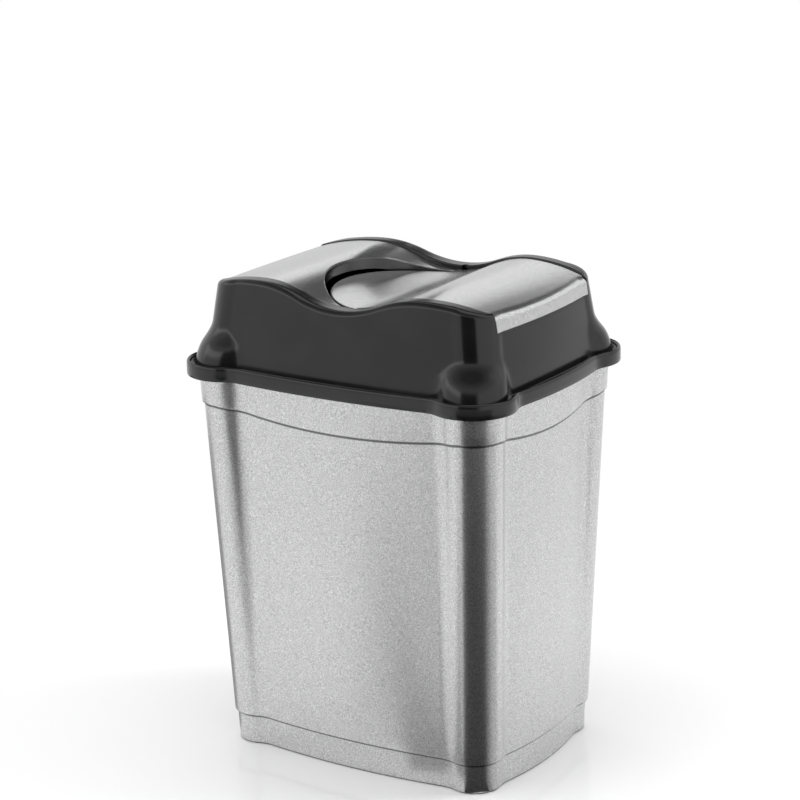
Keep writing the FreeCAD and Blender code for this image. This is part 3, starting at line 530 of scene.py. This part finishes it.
lidFrame = {
    "wall": 2.2, "rimRound": 5.0, "ledge": 9.5, "edge": 0.5, "ease": 0.3, "bend": 0.4, "bayTop": 306.0,
    # inset from the skirt's outline and height, from the inner foot over the lip to the gutter
    "skirtProfile": [(2.2, 300.4), (1.8, 300.0), (0.9, 300.0), (0.25, 300.25), (0, 300.9), (0, 304),
                     (0, 307.5), (0.05, 309.3), (0.3, 310.5), (0.85, 311.3), (1.5, 311.6), (2.15, 311.3),
                     (2.75, 310.5), (3.0, 309.5), (3.1, 308.8), (3.5, 308.35), (4.1, 308.2)],
    # the dome's foot: how far out and how high over the gutter, and where the plain wall starts
    "footRound": ((1.0, 0.0), (0.45, 0.12), (0.12, 0.45)), "footLift": 1.0,
    "leanSpan": 6.0, "slopeSpan": 0.5, "shoulderHeight": 362.0, "endInset": 0.7,
    # small steps: share of the edge cut off, the roof inside the cheeks, the skirt's inner corner
    "edgeCut": 0.3, "roofRise": (0.5, 1.0), "roofDrop": 0.6, "roofShare": 0.15, "skirtEase": 0.5,
    # search for the opening's end and for the cheek's top, and how near its end the opening may be cut
    "searchStep": 0.02, "settle": 8, "limitRing": -4, "limitBack": 1.0,
    # rows up the wall, over the rim, across the strip, on the inside and down the inner wall
    "wallSteps": 22, "roundSteps": 7, "stripSteps": 5, "innerRows": 13, "backSteps": 8,
    "bay": {"along": (1.0, 16.0), "across": (60.0, 76.5), "height": (350.0, 357.0)},
    "slot": {"along": 8.0, "across": (63.5, 80.2), "height": 357.2, "radius": 2.55, "top": 381.0},
    "pegHoles": {"places": ((-41.2, 71.0), (-103.1, 65.6)), "height": (350.0, 358.0), "radius": 2.55,
                 "sides": 20},
}


def crossing(sizes):
    # Place round the lid where the opening's side meets the end wall.
    for column in np.arange(1.0, around / 4, sizes["searchStep"]):
        spot = domeAt(column, sizes["shoulderHeight"])
        if spot[1] >= openSide(spot[0]):
            return float(column)


foundColumn = crossing(lidFrame)
openLimit = abs(pick(domeSpots, foundColumn)[lidFrame["limitRing"]][0]) - lidFrame["limitBack"]


def wallRows(dome, top, sizes):
    foot = lid["gutterFloor"] + sizes["footLift"]
    return [dome(foot + (top - foot) * share) for share in np.linspace(0, 1, sizes["wallSteps"])]


def endRows(dome, sizes):
    # Under the silver end faces the wall stops at the panels' seat.
    seat, edge = lid["seat"], sizes["edge"]
    rows = wallRows(dome, seat - edge, sizes)
    for turn in np.linspace(0, math.pi / 2, sizes["roundSteps"] + 1)[1:]:
        x, y, z = dome(seat, edge * (1 - math.cos(turn)))
        rows.append((x, y, z - edge * (1 - math.sin(turn))))
    rows += [dome(seat, sizes["wall"] - edge)] * (sizes["stripSteps"] + sizes["innerRows"])
    return rows, seat - edge


def cheekRows(column, kind, dome, sizes):
    # A cheek's wall, rim, top strip, side of the opening, ledge and inside. An edge closes the cheek's end.
    seat, wall, edge, ease, bend = lid["seat"], *(sizes[key] for key in ("wall", "edge", "ease", "bend"))
    topZ = lid["valley"]
    for _ in range(sizes["settle"]):
        topZ = float(frameWave(dome(topZ)[0]))
    peak = np.array(dome(topZ))
    up = unit(peak - dome(topZ - sizes["leanSpan"]))
    out = pick(domeOuts, column)[-1]
    aside = out[0] * sizes["slopeSpan"]
    fall = float(frameWave(peak[0] - aside) - frameWave(peak[0] + aside))
    inward = unit(np.array([-out[0], -out[1], fall]))
    start, rim = roundOver(peak, up, inward, sizes["rimRound"], sizes["roundSteps"])
    rows = wallRows(dome, start[2], sizes) + [tuple(point) for point in rim[1:]]
    sign = math.copysign(1, peak[1])

    def openSpot(x, inset):
        return np.array([x, sign * openSide(x, inset)])

    strips, under = sizes["stripSteps"], seat - wall
    if kind == "edge":
        shoulder = dome(sizes["shoulderHeight"])
        rows += [rows[-1]] * strips + [shoulder, shoulder, dome(seat + bend)]
        x = math.copysign(abs(dome(seat)[0]) - wall * sizes["endInset"], peak[0])
        middle, roof = (under + rise for rise in sizes["roofRise"])
        inside = [(*openSpot(x, ease - wall), z) for z in (middle, roof)] + [dome(roof, wall)] * 2
    else:
        crown = rim[-1][:2]
        x = max(-openLimit, min(openLimit, crown[0]))
        goal = openSpot(x, -edge)
        for share in evenSteps(strips):
            spot = crown + (goal - crown) * share
            rows.append((*spot, float(frameWave(spot[0]))))
        top = float(frameWave(x))
        cut = edge * sizes["edgeCut"]
        rows += [(*openSpot(x, -cut), top - cut), (*openSpot(x, 0), top - edge),
                 (*openSpot(x, 0), seat + ease)]
        inner, innerTop = openSpot(x, -wall), top - wall
        outerZ = float(frameWave(dome(innerTop, wall)[0])) - wall
        share = sizes["roofShare"]
        between = inner * (1 - share) + domeAt(column, outerZ, wall) * share
        roof = outerZ - sizes["roofDrop"]
        inside = [(*inner, under + ease), (*inner, innerTop - bend), (*between, innerTop), dome(roof, wall)]
    ledge = sizes["ledge"]
    rows += [(*openSpot(x, inset), z) for inset, z in (
        (ease, seat), (ledge - ease, seat), (ledge, seat - ease), (ledge, under + ease),
        (ledge - ease, under), (ease - wall, under))]
    return rows + inside, roof


def frameSection(column, kind, sizes):
    # Points of one closed section, from the skirt up over the dome and back down inside.
    def dome(z, inset=0.0):
        return (*domeAt(column, z, inset), z)

    skirtSpot, skirtOut = pick(skirtPoints, column), pick(skirtOutward, column)
    rows = [(*(skirtSpot - skirtOut * inset), z) for inset, z in sizes["skirtProfile"]]
    rows += [dome(lid["gutterFloor"] + lift, -proud) for proud, lift in sizes["footRound"]]
    upper, top = endRows(dome, sizes) if kind == "end" else cheekRows(column, kind, dome, sizes)
    wall, low, bend, ease = sizes["wall"], sizes["bayTop"], sizes["bend"], sizes["skirtEase"]
    rows += upper
    rows += [dome(top + (low + bend - top) * share, wall) for share in evenSteps(sizes["backSteps"])]
    rows.append(dome(low, wall - bend))
    rows.append((*(skirtSpot - skirtOut * (wall + ease)), low))
    rows.append((*(skirtSpot - skirtOut * wall), low - ease))
    return rows


def boxPart(low, high):
    corners = [(x, y, z) for z in (low[2], high[2]) for y in (low[1], high[1]) for x in (low[0], high[0])]
    return corners, [(0, 2, 3, 1), (4, 5, 7, 6), (0, 1, 5, 4), (2, 6, 7, 3), (0, 4, 6, 2), (1, 3, 7, 5)]


def rodPart(start, end, radius, count=32, bevel=0.0):
    # A closed rod between two points, with an optional small chamfer at its ends.
    start, end = np.array(start, float), np.array(end, float)
    axis = unit(end - start)
    side = unit(np.cross(axis, [1.0, 0.0, 0.0] if abs(axis[0]) < 0.9 else [0.0, 1.0, 0.0]))
    other = np.cross(axis, side)
    turns = np.linspace(0, 2 * math.pi, count, endpoint=False)
    ring = np.outer(np.cos(turns), side) + np.outer(np.sin(turns), other)
    rings = [(start, radius - bevel), (end, radius - bevel)]
    if bevel:
        rings[1:1] = [(start + axis * bevel, radius), (end - axis * bevel, radius)]
    points = np.concatenate([middle + ring * reach for middle, reach in rings])
    faces = gridFaces(len(rings), count, closed=True)
    last = (len(rings) - 1) * count
    return points, faces + [tuple(range(count - 1, -1, -1)), tuple(range(last, last + count))]


def cutAway(piece, parts):
    # Take each part out of the piece and work the cuts in.
    tools = []
    for number, part in enumerate(parts):
        name = f"cut{number}"
        tool = placed(name, meshFrom(name, [part]))
        cut = piece.modifiers.new(name, "BOOLEAN")
        cut.operation = "DIFFERENCE"
        cut.solver = "EXACT"
        cut.object = tool
        tools.append(tool)
    mesh = evaluated(piece)
    for tool in tools:
        bpy.data.objects.remove(tool)
    return mesh


def frameCuts(sizes):
    # Bays for the flap's root, slots for its trunnions and holes for the cover's pegs.
    bay, slot, holes = sizes["bay"], sizes["slot"], sizes["pegHoles"]
    middle, height, radius = slot["along"], slot["height"], slot["radius"]
    parts = []
    for side in (-1, 1):
        across = sorted(side * reach for reach in bay["across"])
        parts.append(boxPart(*zip(bay["along"], across, bay["height"])))
        near, far = sorted(side * reach for reach in slot["across"])
        parts.append(rodPart((middle, near, height), (middle, far, height), radius))
        parts.append(boxPart((middle - radius, near, height), (middle + radius, far, slot["top"])))
        for along, reach in holes["places"]:
            ends = [(along, side * reach, z) for z in holes["height"]]
            parts.append(rodPart(*ends, holes["radius"], holes["sides"]))
    return parts


def makeFrame(sizes):
    columns = [float(column) for column in range(around)]
    half = around / 2
    edges = [foundColumn, half - foundColumn, half + foundColumn, around - foundColumn]
    for edge in edges:
        columns[int(round(edge)) % around] = edge
    sections = []
    for column in columns:
        fold = min(column % half, half - column % half)
        kind = "edge" if column in edges else "end" if fold < foundColumn else "cheek"
        sections.append(frameSection(column, kind, sizes))
    counts = {len(section) for section in sections}
    if len(counts) != 1:
        raise RuntimeError(f"frame sections differ: {counts}")
    steps = counts.pop()
    corner = np.arange(around * steps).reshape(around, steps)
    beside = np.roll(corner, -1, 0)
    ring = np.stack([corner, beside, np.roll(beside, -1, 1), np.roll(corner, -1, 1)], 2)
    faces = ring.reshape(-1, 4).tolist()
    blank = finishMesh("lidFrameBlank", meshFrom("lidFrameBlank", [(sections, faces)]), lidFinish)
    mesh = cutAway(blank, frameCuts(sizes))
    bpy.data.objects.remove(blank)
    mesh.name = "lidFrameShell"
    return finishMesh("lidFrameShell", mesh, lidFinish)


lidFrameShell = makeFrame(lidFrame)
print("lid frame made", len(lidFrameShell.data.vertices))

# Silver panels: skins that get their wall from Solidify

panel = {"gap": 1.0, "wall": 2.0, "endRound": 8.0, "archCenter": 15.7, "sharp": 40,
         "endSteps": 10, "endTurns": 10, "edgeTurns": 5, "acrossSteps": 61, "wallShares": (0, 0.5, 1.0),
         # the end's search: places in its table, first guess of its place and of its top, rounds
         "endTable": 60, "endGuess": 120.0, "topGuess": 366.0, "settle": 6}
endTables = {}


def endFace(y, z):
    # Distance along the lid of the dome's end face at a place across and a height.
    key = round(float(z), 1)
    if key not in endTables:
        columns = np.linspace(0, around / 8, panel["endTable"])
        endTables[key] = np.array([domeAt(column, key) for column in columns])
    return float(np.interp(abs(y), endTables[key][:, 1], endTables[key][:, 0]))


def panelSide(x):
    return openSide(x, panel["gap"])


def acrossShares(kink, count):
    # Places across a panel: close together towards the ends of its arc, with a few on the shoulders.
    inner = np.sin(np.linspace(-1, 1, panel["acrossSteps"]) * math.pi / 2) * kink
    return inner, np.concatenate([np.linspace(-1, -kink, count)[:-1], inner, np.linspace(kink, 1, count)[1:]])


def endColumn(share, low):
    # One line of a panel's end return, from its foot over the round to the top, on the right-hand side.
    def spot(z):
        x = panel["endGuess"]
        for _ in range(panel["settle"]):
            x = endFace(share * panelSide(x), z)
        return x
    span, aside = lidFrame["leanSpan"], lidFrame["slopeSpan"]
    topX = spot(panel["topGuess"])
    for _ in range(panel["settle"]):
        topX = spot(float(panelWave(topX)))
    topZ = float(panelWave(topX))
    up = unit(np.array([spot(topZ) - spot(topZ - span), span]))
    inward = unit(np.array([-1.0, float(panelWave(topX - aside) - panelWave(topX + aside))]))
    start, bend = roundOver(np.array([topX, topZ]), up, inward, panel["endRound"], panel["endTurns"])
    levels = [low + (start[1] - low) * step for step in np.linspace(0, 1, panel["endSteps"] + 1)[:-1]]
    return [(spot(z), z) for z in levels] + [tuple(point) for point in bend]


def turnDown(line, out, radius, foot, shares):
    # Carries a line over a small round and down a wall to its foot.
    x, y, z = line[-1]
    for turn in np.linspace(0, math.pi / 2, panel["edgeTurns"] + 1)[1:]:
        spot = np.array([x, y]) + out * radius * math.sin(turn)
        line.append((*spot, z - radius * (1 - math.cos(turn))))
    x, y, z = line[-1]
    line += [(x, y, z + (foot - z) * share) for share in shares]


def sideWalls(lines, low):
    # Walls under the outer lines of a panel: each point of the line dropped to the panel's foot.
    parts = []
    for line in lines:
        line = np.array(line)
        drops = [line + (low - line[:, 2:]) * [0, 0, share] for share in panel["wallShares"]]
        parts.append((drops, gridFaces(len(drops), len(line))))
    return parts


def solidSkin(name, parts, extras):
    # Skin to wall, then the solid extras such as pegs and trunnions.
    skin = finishMesh(name + "Skin", meshFrom(name + "Skin", parts), panelFinish)
    if sum(face.normal.z * face.area for face in skin.data.polygons) < 0:
        skin.data.flip_normals()
    thick = skin.modifiers.new("wall", "SOLIDIFY")
    thick.thickness = panel["wall"] * mm
    thick.offset = -1.0
    thick.use_even_offset = True
    body = evaluated(skin)
    bpy.data.objects.remove(skin)
    work = bmesh.new()
    work.from_mesh(body)
    work.from_mesh(meshFrom(name + "Extras", extras))
    work.to_mesh(body)
    work.free()
    body.name = name
    return finishMesh(name, body, panelFinish, panel["sharp"])


# Cover, with the arched edge

cover = {"end": 1.0, "archRadius": 72.0, "archLip": 9.0, "archEdge": 1.1, "low": 355.0,
         "topSteps": 40, "shoulderSteps": 4, "wallShares": (0.3, 0.65, 1.0), "settle": 12,
         # the wall with painted shade: from and to past the arch's radius, under the top, short of the
         # straight end
         "shadePast": (-0.2, 1.0), "shadeDrop": 0.03, "shadeTo": 0.5,
         "pegs": ((-41.2, 71.0), (-103.1, 65.6)), "pegRadius": 2.45, "pegLow": 350.7, "pegBury": 1.0,
         "pegSides": 24, "pegBevel": 0.4}


def makeCover(sizes):
    end, center, edge = sizes["end"], panel["archCenter"], sizes["archEdge"]
    reach = sizes["archRadius"] + edge
    kink = math.sqrt(sizes["archRadius"] ** 2 - (center - end) ** 2) / panelSide(end)
    columns = []
    for share in acrossShares(kink, sizes["shoulderSteps"])[1]:
        line = [(-x, share * panelSide(x), z) for x, z in endColumn(share, sizes["low"])]
        edgeX = end
        for _ in range(sizes["settle"]):
            y = share * panelSide(edgeX)
            edgeX = min(end - edge, center - math.sqrt(max(reach ** 2 - y ** 2, 0.0)))
        startX = line[-1][0]
        for step in evenSteps(sizes["topSteps"]):
            x = startX + (edgeX - startX) * step
            line.append((x, share * panelSide(x), float(panelWave(x))))
        x, y, z = line[-1]
        out = unit(np.array([center - x, -y] if abs(share) < kink - hair else [1.0, 0.0]))
        foot = max(sizes["low"], z - sizes["archLip"])
        turnDown(line, out, edge, foot, sizes["wallShares"])
        columns.append(line)
    count = len(columns[0])
    parts = [(columns, gridFaces(len(columns), count))]
    flat = count - panel["edgeTurns"] - len(sizes["wallShares"])
    parts += sideWalls([columns[0][:flat], columns[-1][:flat]], sizes["low"])
    pegs = []
    for along, across in sizes["pegs"]:
        top = float(panelWave(along)) - sizes["pegBury"]
        for side in (-1, 1):
            ends = [(along, side * across, z) for z in (sizes["pegLow"], top)]
            pegs.append(rodPart(*ends, sizes["pegRadius"], sizes["pegSides"], sizes["pegBevel"]))
    return solidSkin("lidCoverShell", parts, pegs)


def paintWallShade(piece, sizes):
    # Painted shade: the arch's edge and its wall get the mark that colours them darker than the polished top,
    # for the shade under the arch.
    center = Vector((panel["archCenter"] * mm, 0.0))
    near, far = sizes["shadePast"]
    marks = []
    for vertex in piece.data.vertices:
        past = (vertex.co.xy - center).length / mm - sizes["archRadius"]
        drop = float(panelWave(vertex.co.x / mm)) - vertex.co.z / mm
        onWall = near < past < far and drop > sizes["shadeDrop"]
        marks.append(float(onWall and vertex.co.x / mm < sizes["shadeTo"]))
    piece.data.attributes.new("crease", "FLOAT", "POINT").data.foreach_set("value", marks)


lidCoverShell = makeCover(cover)
paintWallShade(lidCoverShell, cover)
print("cover made", len(lidCoverShell.data.vertices))

# Flap, with the press tongue and the trunnions

flap = {"root": 2.0, "tongueRadius": 68.0, "ramp": 340.0, "tongueLow": 355.5, "low": 355.3, "rim": 1.2,
        "rimFade": 6, "topSteps": 44, "tongueSteps": 32, "shoulderSteps": 5, "wallShares": (0.5, 1.0),
        "pivot": (8.0, 357.2), "trunnion": 2.5, "trunnionAcross": (70.0, 79.2), "trunnionBevel": 0.3}


def flapTop(x, sizes):
    if x >= 0:
        return float(panelWave(x))
    return lid["panelValley"] + sizes["ramp"] - math.sqrt(sizes["ramp"] ** 2 - x ** 2)


def tongueLine(share, kink, sizes):
    # From the root to the tongue's round edge, over a rim that dies out at its ends, and down a wall.
    root, center, radius = sizes["root"], panel["archCenter"], sizes["tongueRadius"]
    y = share * panelSide(root)
    edgeX = center - math.sqrt(max(radius ** 2 - y ** 2, 0.0))
    out = np.array([edgeX - center, y]) / radius
    rim = sizes["rim"] * math.sqrt(max(1 - abs(share / kink) ** sizes["rimFade"], 0.0))
    foot = sizes["low"] if abs(share) > kink - hair else sizes["tongueLow"]
    innerX, innerY = min(root, edgeX - out[0] * rim), y - out[1] * rim
    line = []
    for step in np.linspace(0, 1, sizes["tongueSteps"] + 1):
        x = root + (innerX - root) * step
        line.append((x, y + (innerY - y) * step, flapTop(x, sizes)))
    turnDown(line, out, rim, foot, sizes["wallShares"])
    return line


def makeFlap(sizes):
    root = sizes["root"]
    chord = math.sqrt(sizes["tongueRadius"] ** 2 - (panel["archCenter"] - root) ** 2)
    kink = chord / panelSide(root)
    inner, shares = acrossShares(kink, sizes["shoulderSteps"])
    columns = []
    for share in shares:
        line = [(x, share * panelSide(x), z) for x, z in endColumn(share, sizes["low"])]
        startX = line[-1][0]
        for step in evenSteps(sizes["topSteps"]):
            x = startX + (root - startX) * step
            line.append((x, share * panelSide(x), flapTop(x, sizes)))
        columns.append(line)
    tongue = [tongueLine(share, kink, sizes) for share in inner]
    parts = [(columns, gridFaces(len(columns), len(columns[0])))]
    parts += sideWalls([columns[0], columns[-1]], sizes["low"])
    # The root's two shoulders drop to the foot beside the tongue.
    for group in (columns[:sizes["shoulderSteps"]], columns[-sizes["shoulderSteps"]:]):
        parts += sideWalls([[line[-1] for line in group]], sizes["low"])
    parts.append((tongue, gridFaces(len(tongue), len(tongue[0]))))
    pivotX, pivotZ = sizes["pivot"]
    pins = []
    for side in (-1, 1):
        ends = [(pivotX, side * across, pivotZ) for across in sizes["trunnionAcross"]]
        pins.append(rodPart(*ends, sizes["trunnion"], bevel=sizes["trunnionBevel"]))
    return solidSkin("lidFlapShell", parts, pins)


lidFlapShell = makeFlap(flap)
print("flap made", len(lidFlapShell.data.vertices))

for piece, node, body, slot in ((bucketShell, "bucket", "bucket", "bucket_silver"),
                                (lidFrameShell, "lid_frame", "lid", "lid_black"),
                                (lidCoverShell, "lid_cover", "lid", "panel_silver"),
                                (lidFlapShell, "lid_flap", "flap", "panel_silver")):
    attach(piece, body)
    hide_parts(node)

# Camera, fitted to the photograph

view = {"target": (0.0, 0.0, 0.18), "azimuth": 32.81, "elevation": 18.385, "distance": 2.070709,
        "roll": 0.022, "pan": -0.002, "tilt": 0.043, "lens": 119.876, "sensor": 36.0, "farthest": 50.0}


def turned(first, second, angle):
    cos, sin = math.cos(angle), math.sin(angle)
    return cos * first - sin * second, sin * first + cos * second


def makeCamera(settings):
    a, e = math.radians(settings["azimuth"]), math.radians(settings["elevation"])
    back = Vector((math.sin(a) * math.cos(e), -math.cos(a) * math.cos(e), math.sin(e)))
    right = Vector((math.cos(a), math.sin(a), 0.0))
    up, ahead = back.cross(right), -back
    place = Vector(settings["target"]) + back * settings["distance"]
    right, ahead = turned(right, ahead, settings["pan"])
    up, ahead = turned(up, ahead, settings["tilt"])
    right, up = turned(right, up, settings["roll"])
    data = bpy.data.cameras.new("photoCamera")
    data.sensor_fit = "HORIZONTAL"
    data.sensor_width = settings["sensor"]
    data.lens = settings["lens"]
    data.clip_end = settings["farthest"]
    camera = placed("photoCamera", data)
    camera.matrix_world = Matrix.Translation(place) @ Matrix((right, up, -ahead)).transposed().to_4x4()
    scene.camera = camera


makeCamera(view)
print("camera set")

# Studio: white floor and surround, soft boxes, and dark flags that only reflections see

studio = {
    "floor": 9.0, "floorColor": (0.9, 0.9, 0.9, 1.0), "floorRough": 0.12, "fade": (0.3, 0.75), "world": 0.6,
    # lamps: place, width, power, seen in reflections; they look at one spot
    "lamps": [("keyLamp", (-1.3, -1.5, 1.7), 3.4, 26.0, True),
              ("fillLamp", (1.5, 1.0, 1.5), 0.9, 16.0, False),
              ("topLamp", (-0.1, 0.1, 2.2), 2.4, 24.0, False)],
    "lampTarget": (0.0, 0.0, 0.2), "flagSteps": 12,
    # standing flags: bearing from the front towards +X, its half width, distance, low and high edge, shade
    "flags": [("cameraFlag", 20.0, 25.0, 1.2, 0.12, 0.9, 0.004),
              ("frontFlag", -36.0, 26.0, 1.6, 0.06, 0.75, 0.85),
              ("endFlag", 146.0, 26.0, 1.6, 0.1, 0.6, 0.75),
              ("backFlag", 190.0, 40.0, 1.7, 1.2, 2.6, 0.03),
              ("farFlag", 213.0, 28.0, 1.8, 0.1, 0.8, 0.72),
              ("ringLow", -15.0, 120.0, 1.0, 0.8, 1.1, 0.7),
              ("ringMiddle", -15.0, 110.0, 1.0, 1.1, 1.5, 0.38),
              ("ringHigh", -15.0, 100.0, 1.0, 1.5, 4.2, 0.12)],
    # flags on the floor: middle, bearing, half width, inner and outer reach, shade
    "floorFlags": [("columnFlag", (0.103, -0.071), 31.0, 47.0, 0.012, 1.25, 0.01),
                   ("columnEnd", (0.103, -0.071), 110.0, 15.0, 0.012, 0.8, 0.6),
                   ("columnFade", (0.103, -0.071), 86.5, 8.5, 0.012, 0.8, 0.3),
                   ("leftSide", (-0.103, -0.071), -112.0, 30.0, 0.022, 0.8, 0.35)],
    "floorLift": 0.001,
    # flags under the front face: first and last place along it, shade; where they start and run to
    "faceFlags": [("faceMiddle", -0.01, 0.045, 0.8), ("faceRight", 0.045, 0.1, 0.36)],
    "faceStart": -0.102, "faceRun": (-0.34, -0.62),
    # small flag behind the lid, for the tongue: its sides, place and edges, shade
    "tongueFlag": ((-0.18, -0.12), 0.24, (0.44, 0.505), 0.02),
}


def seenDirectly(tree):
    # One for camera, mirror and see-through rays, nought for the light that falls on things.
    path = addNode(tree, "ShaderNodeLightPath").outputs
    total = path["Is Camera Ray"]
    for name in ("Is Glossy Ray", "Is Transmission Ray"):
        total = addNode(tree, "ShaderNodeMath", {0: total, 1: path[name]}, operation="MAXIMUM").outputs[0]
    return total


def makeWorld(settings):
    world = bpy.data.worlds.new("studioWorld")
    scene.world = world
    world.use_nodes = True
    tree = world.node_tree
    tree.nodes.clear()
    level = rangeOf(tree, seenDirectly(tree), settings["world"], 1.0)
    glow = addNode(tree, "ShaderNodeBackground", {"Color": (1, 1, 1, 1), "Strength": level})
    addNode(tree, "ShaderNodeOutputWorld", {"Surface": glow.outputs[0]})


def stageMesh(name, points, faces, material):
    mesh = bpy.data.meshes.new(name)
    mesh.from_pydata(points, [], faces)
    mesh.materials.append(material)
    item = placed(name, mesh)
    return item


def makeFloor(settings):
    # Plain floor with the shadow near the object, fading to white farther out.
    material, tree, shader = blankMaterial("studioFloor")
    fill(tree, shader, {"Base Color": settings["floorColor"], "Roughness": settings["floorRough"]})
    reach = addNode(tree, "ShaderNodeVectorMath", {0: objectPlace(tree)}, operation="LENGTH")
    first, last = settings["fade"]
    fade = addNode(tree, "ShaderNodeMapRange",
                   {"Value": reach.outputs["Value"], "From Min": first, "From Max": last},
                   interpolation_type="SMOOTHSTEP")
    amount = addNode(tree, "ShaderNodeMath", {0: fade.outputs["Result"], 1: seenDirectly(tree)},
                     operation="MULTIPLY")
    glow = addNode(tree, "ShaderNodeEmission", {"Strength": 1.0})
    both = addNode(tree, "ShaderNodeMixShader",
                   {0: amount.outputs[0], 1: shader.outputs[0], 2: glow.outputs[0]})
    end = next(node for node in tree.nodes if node.type == "OUTPUT_MATERIAL")
    fill(tree, end, {"Surface": both.outputs[0]})
    size = settings["floor"]
    stageMesh("studioFloor", [(-size, -size, 0), (size, -size, 0), (size, size, 0), (-size, size, 0)],
              [(0, 1, 2, 3)], material)


def makeFlag(name, points, faces, shade):
    # A card for reflections from one side, clear from the other.
    material, tree, _ = blankMaterial(name)
    tree.nodes.clear()
    glow = addNode(tree, "ShaderNodeEmission", {"Strength": shade})
    clear = addNode(tree, "ShaderNodeBsdfTransparent")
    side = addNode(tree, "ShaderNodeNewGeometry").outputs["Backfacing"]
    oneSided = addNode(tree, "ShaderNodeMixShader", {0: side, 1: glow.outputs[0], 2: clear.outputs[0]})
    addNode(tree, "ShaderNodeOutputMaterial", {"Surface": oneSided.outputs[0]})
    flag = stageMesh(name, points, faces, material)
    for ray in ("camera", "diffuse", "shadow", "transmission"):
        setattr(flag, "visible_" + ray, False)


def makeFlags(settings):
    steps, lift = settings["flagSteps"], settings["floorLift"]
    strip = [(step, step + steps + 1, step + steps + 2, step + 1) for step in range(steps)]

    def bearings(middle, half):
        return [math.radians(middle + half * share) for share in np.linspace(-1, 1, steps + 1)]
    for name, middle, half, reach, low, high, shade in settings["flags"]:
        points = [(reach * math.sin(a), -reach * math.cos(a), z)
                  for z in (low, high) for a in bearings(middle, half)]
        makeFlag(name, points, strip, shade)
    for name, (x, y), middle, half, near, far, shade in settings["floorFlags"]:
        points = [(x + reach * math.sin(a), y - reach * math.cos(a), lift)
                  for reach in (far, near) for a in bearings(middle, half)[::-1]]
        makeFlag(name, points, strip, shade)
    (left, right), y, (low, high), shade = settings["tongueFlag"]
    makeFlag("tongueFlag", [(left, y, low), (right, y, low), (right, y, high), (left, y, high)],
             [(0, 1, 2, 3)], shade)
    (runX, runY), y = settings["faceRun"], settings["faceStart"]
    for name, first, last, shade in settings["faceFlags"]:
        points = [(first, y, lift), (first + runX, y + runY, lift),
                  (last + runX, y + runY, lift), (last, y, lift)]
        makeFlag(name, points, [(0, 1, 2, 3)], shade)


def makeLamps(settings):
    for name, place, width, power, mirrored in settings["lamps"]:
        data = bpy.data.lights.new(name, "AREA")
        data.shape = "DISK"
        data.size = width
        data.energy = power
        lamp = placed(name, data)
        lamp.visible_glossy = mirrored
        lamp.location = place
        aim = Vector(settings["lampTarget"]) - Vector(place)
        lamp.rotation_euler = aim.to_track_quat("-Z", "Y").to_euler()


makeWorld(studio)
makeFloor(studio)
makeFlags(studio)
makeLamps(studio)
scene.view_settings.view_transform = "Standard"
print("studio set")
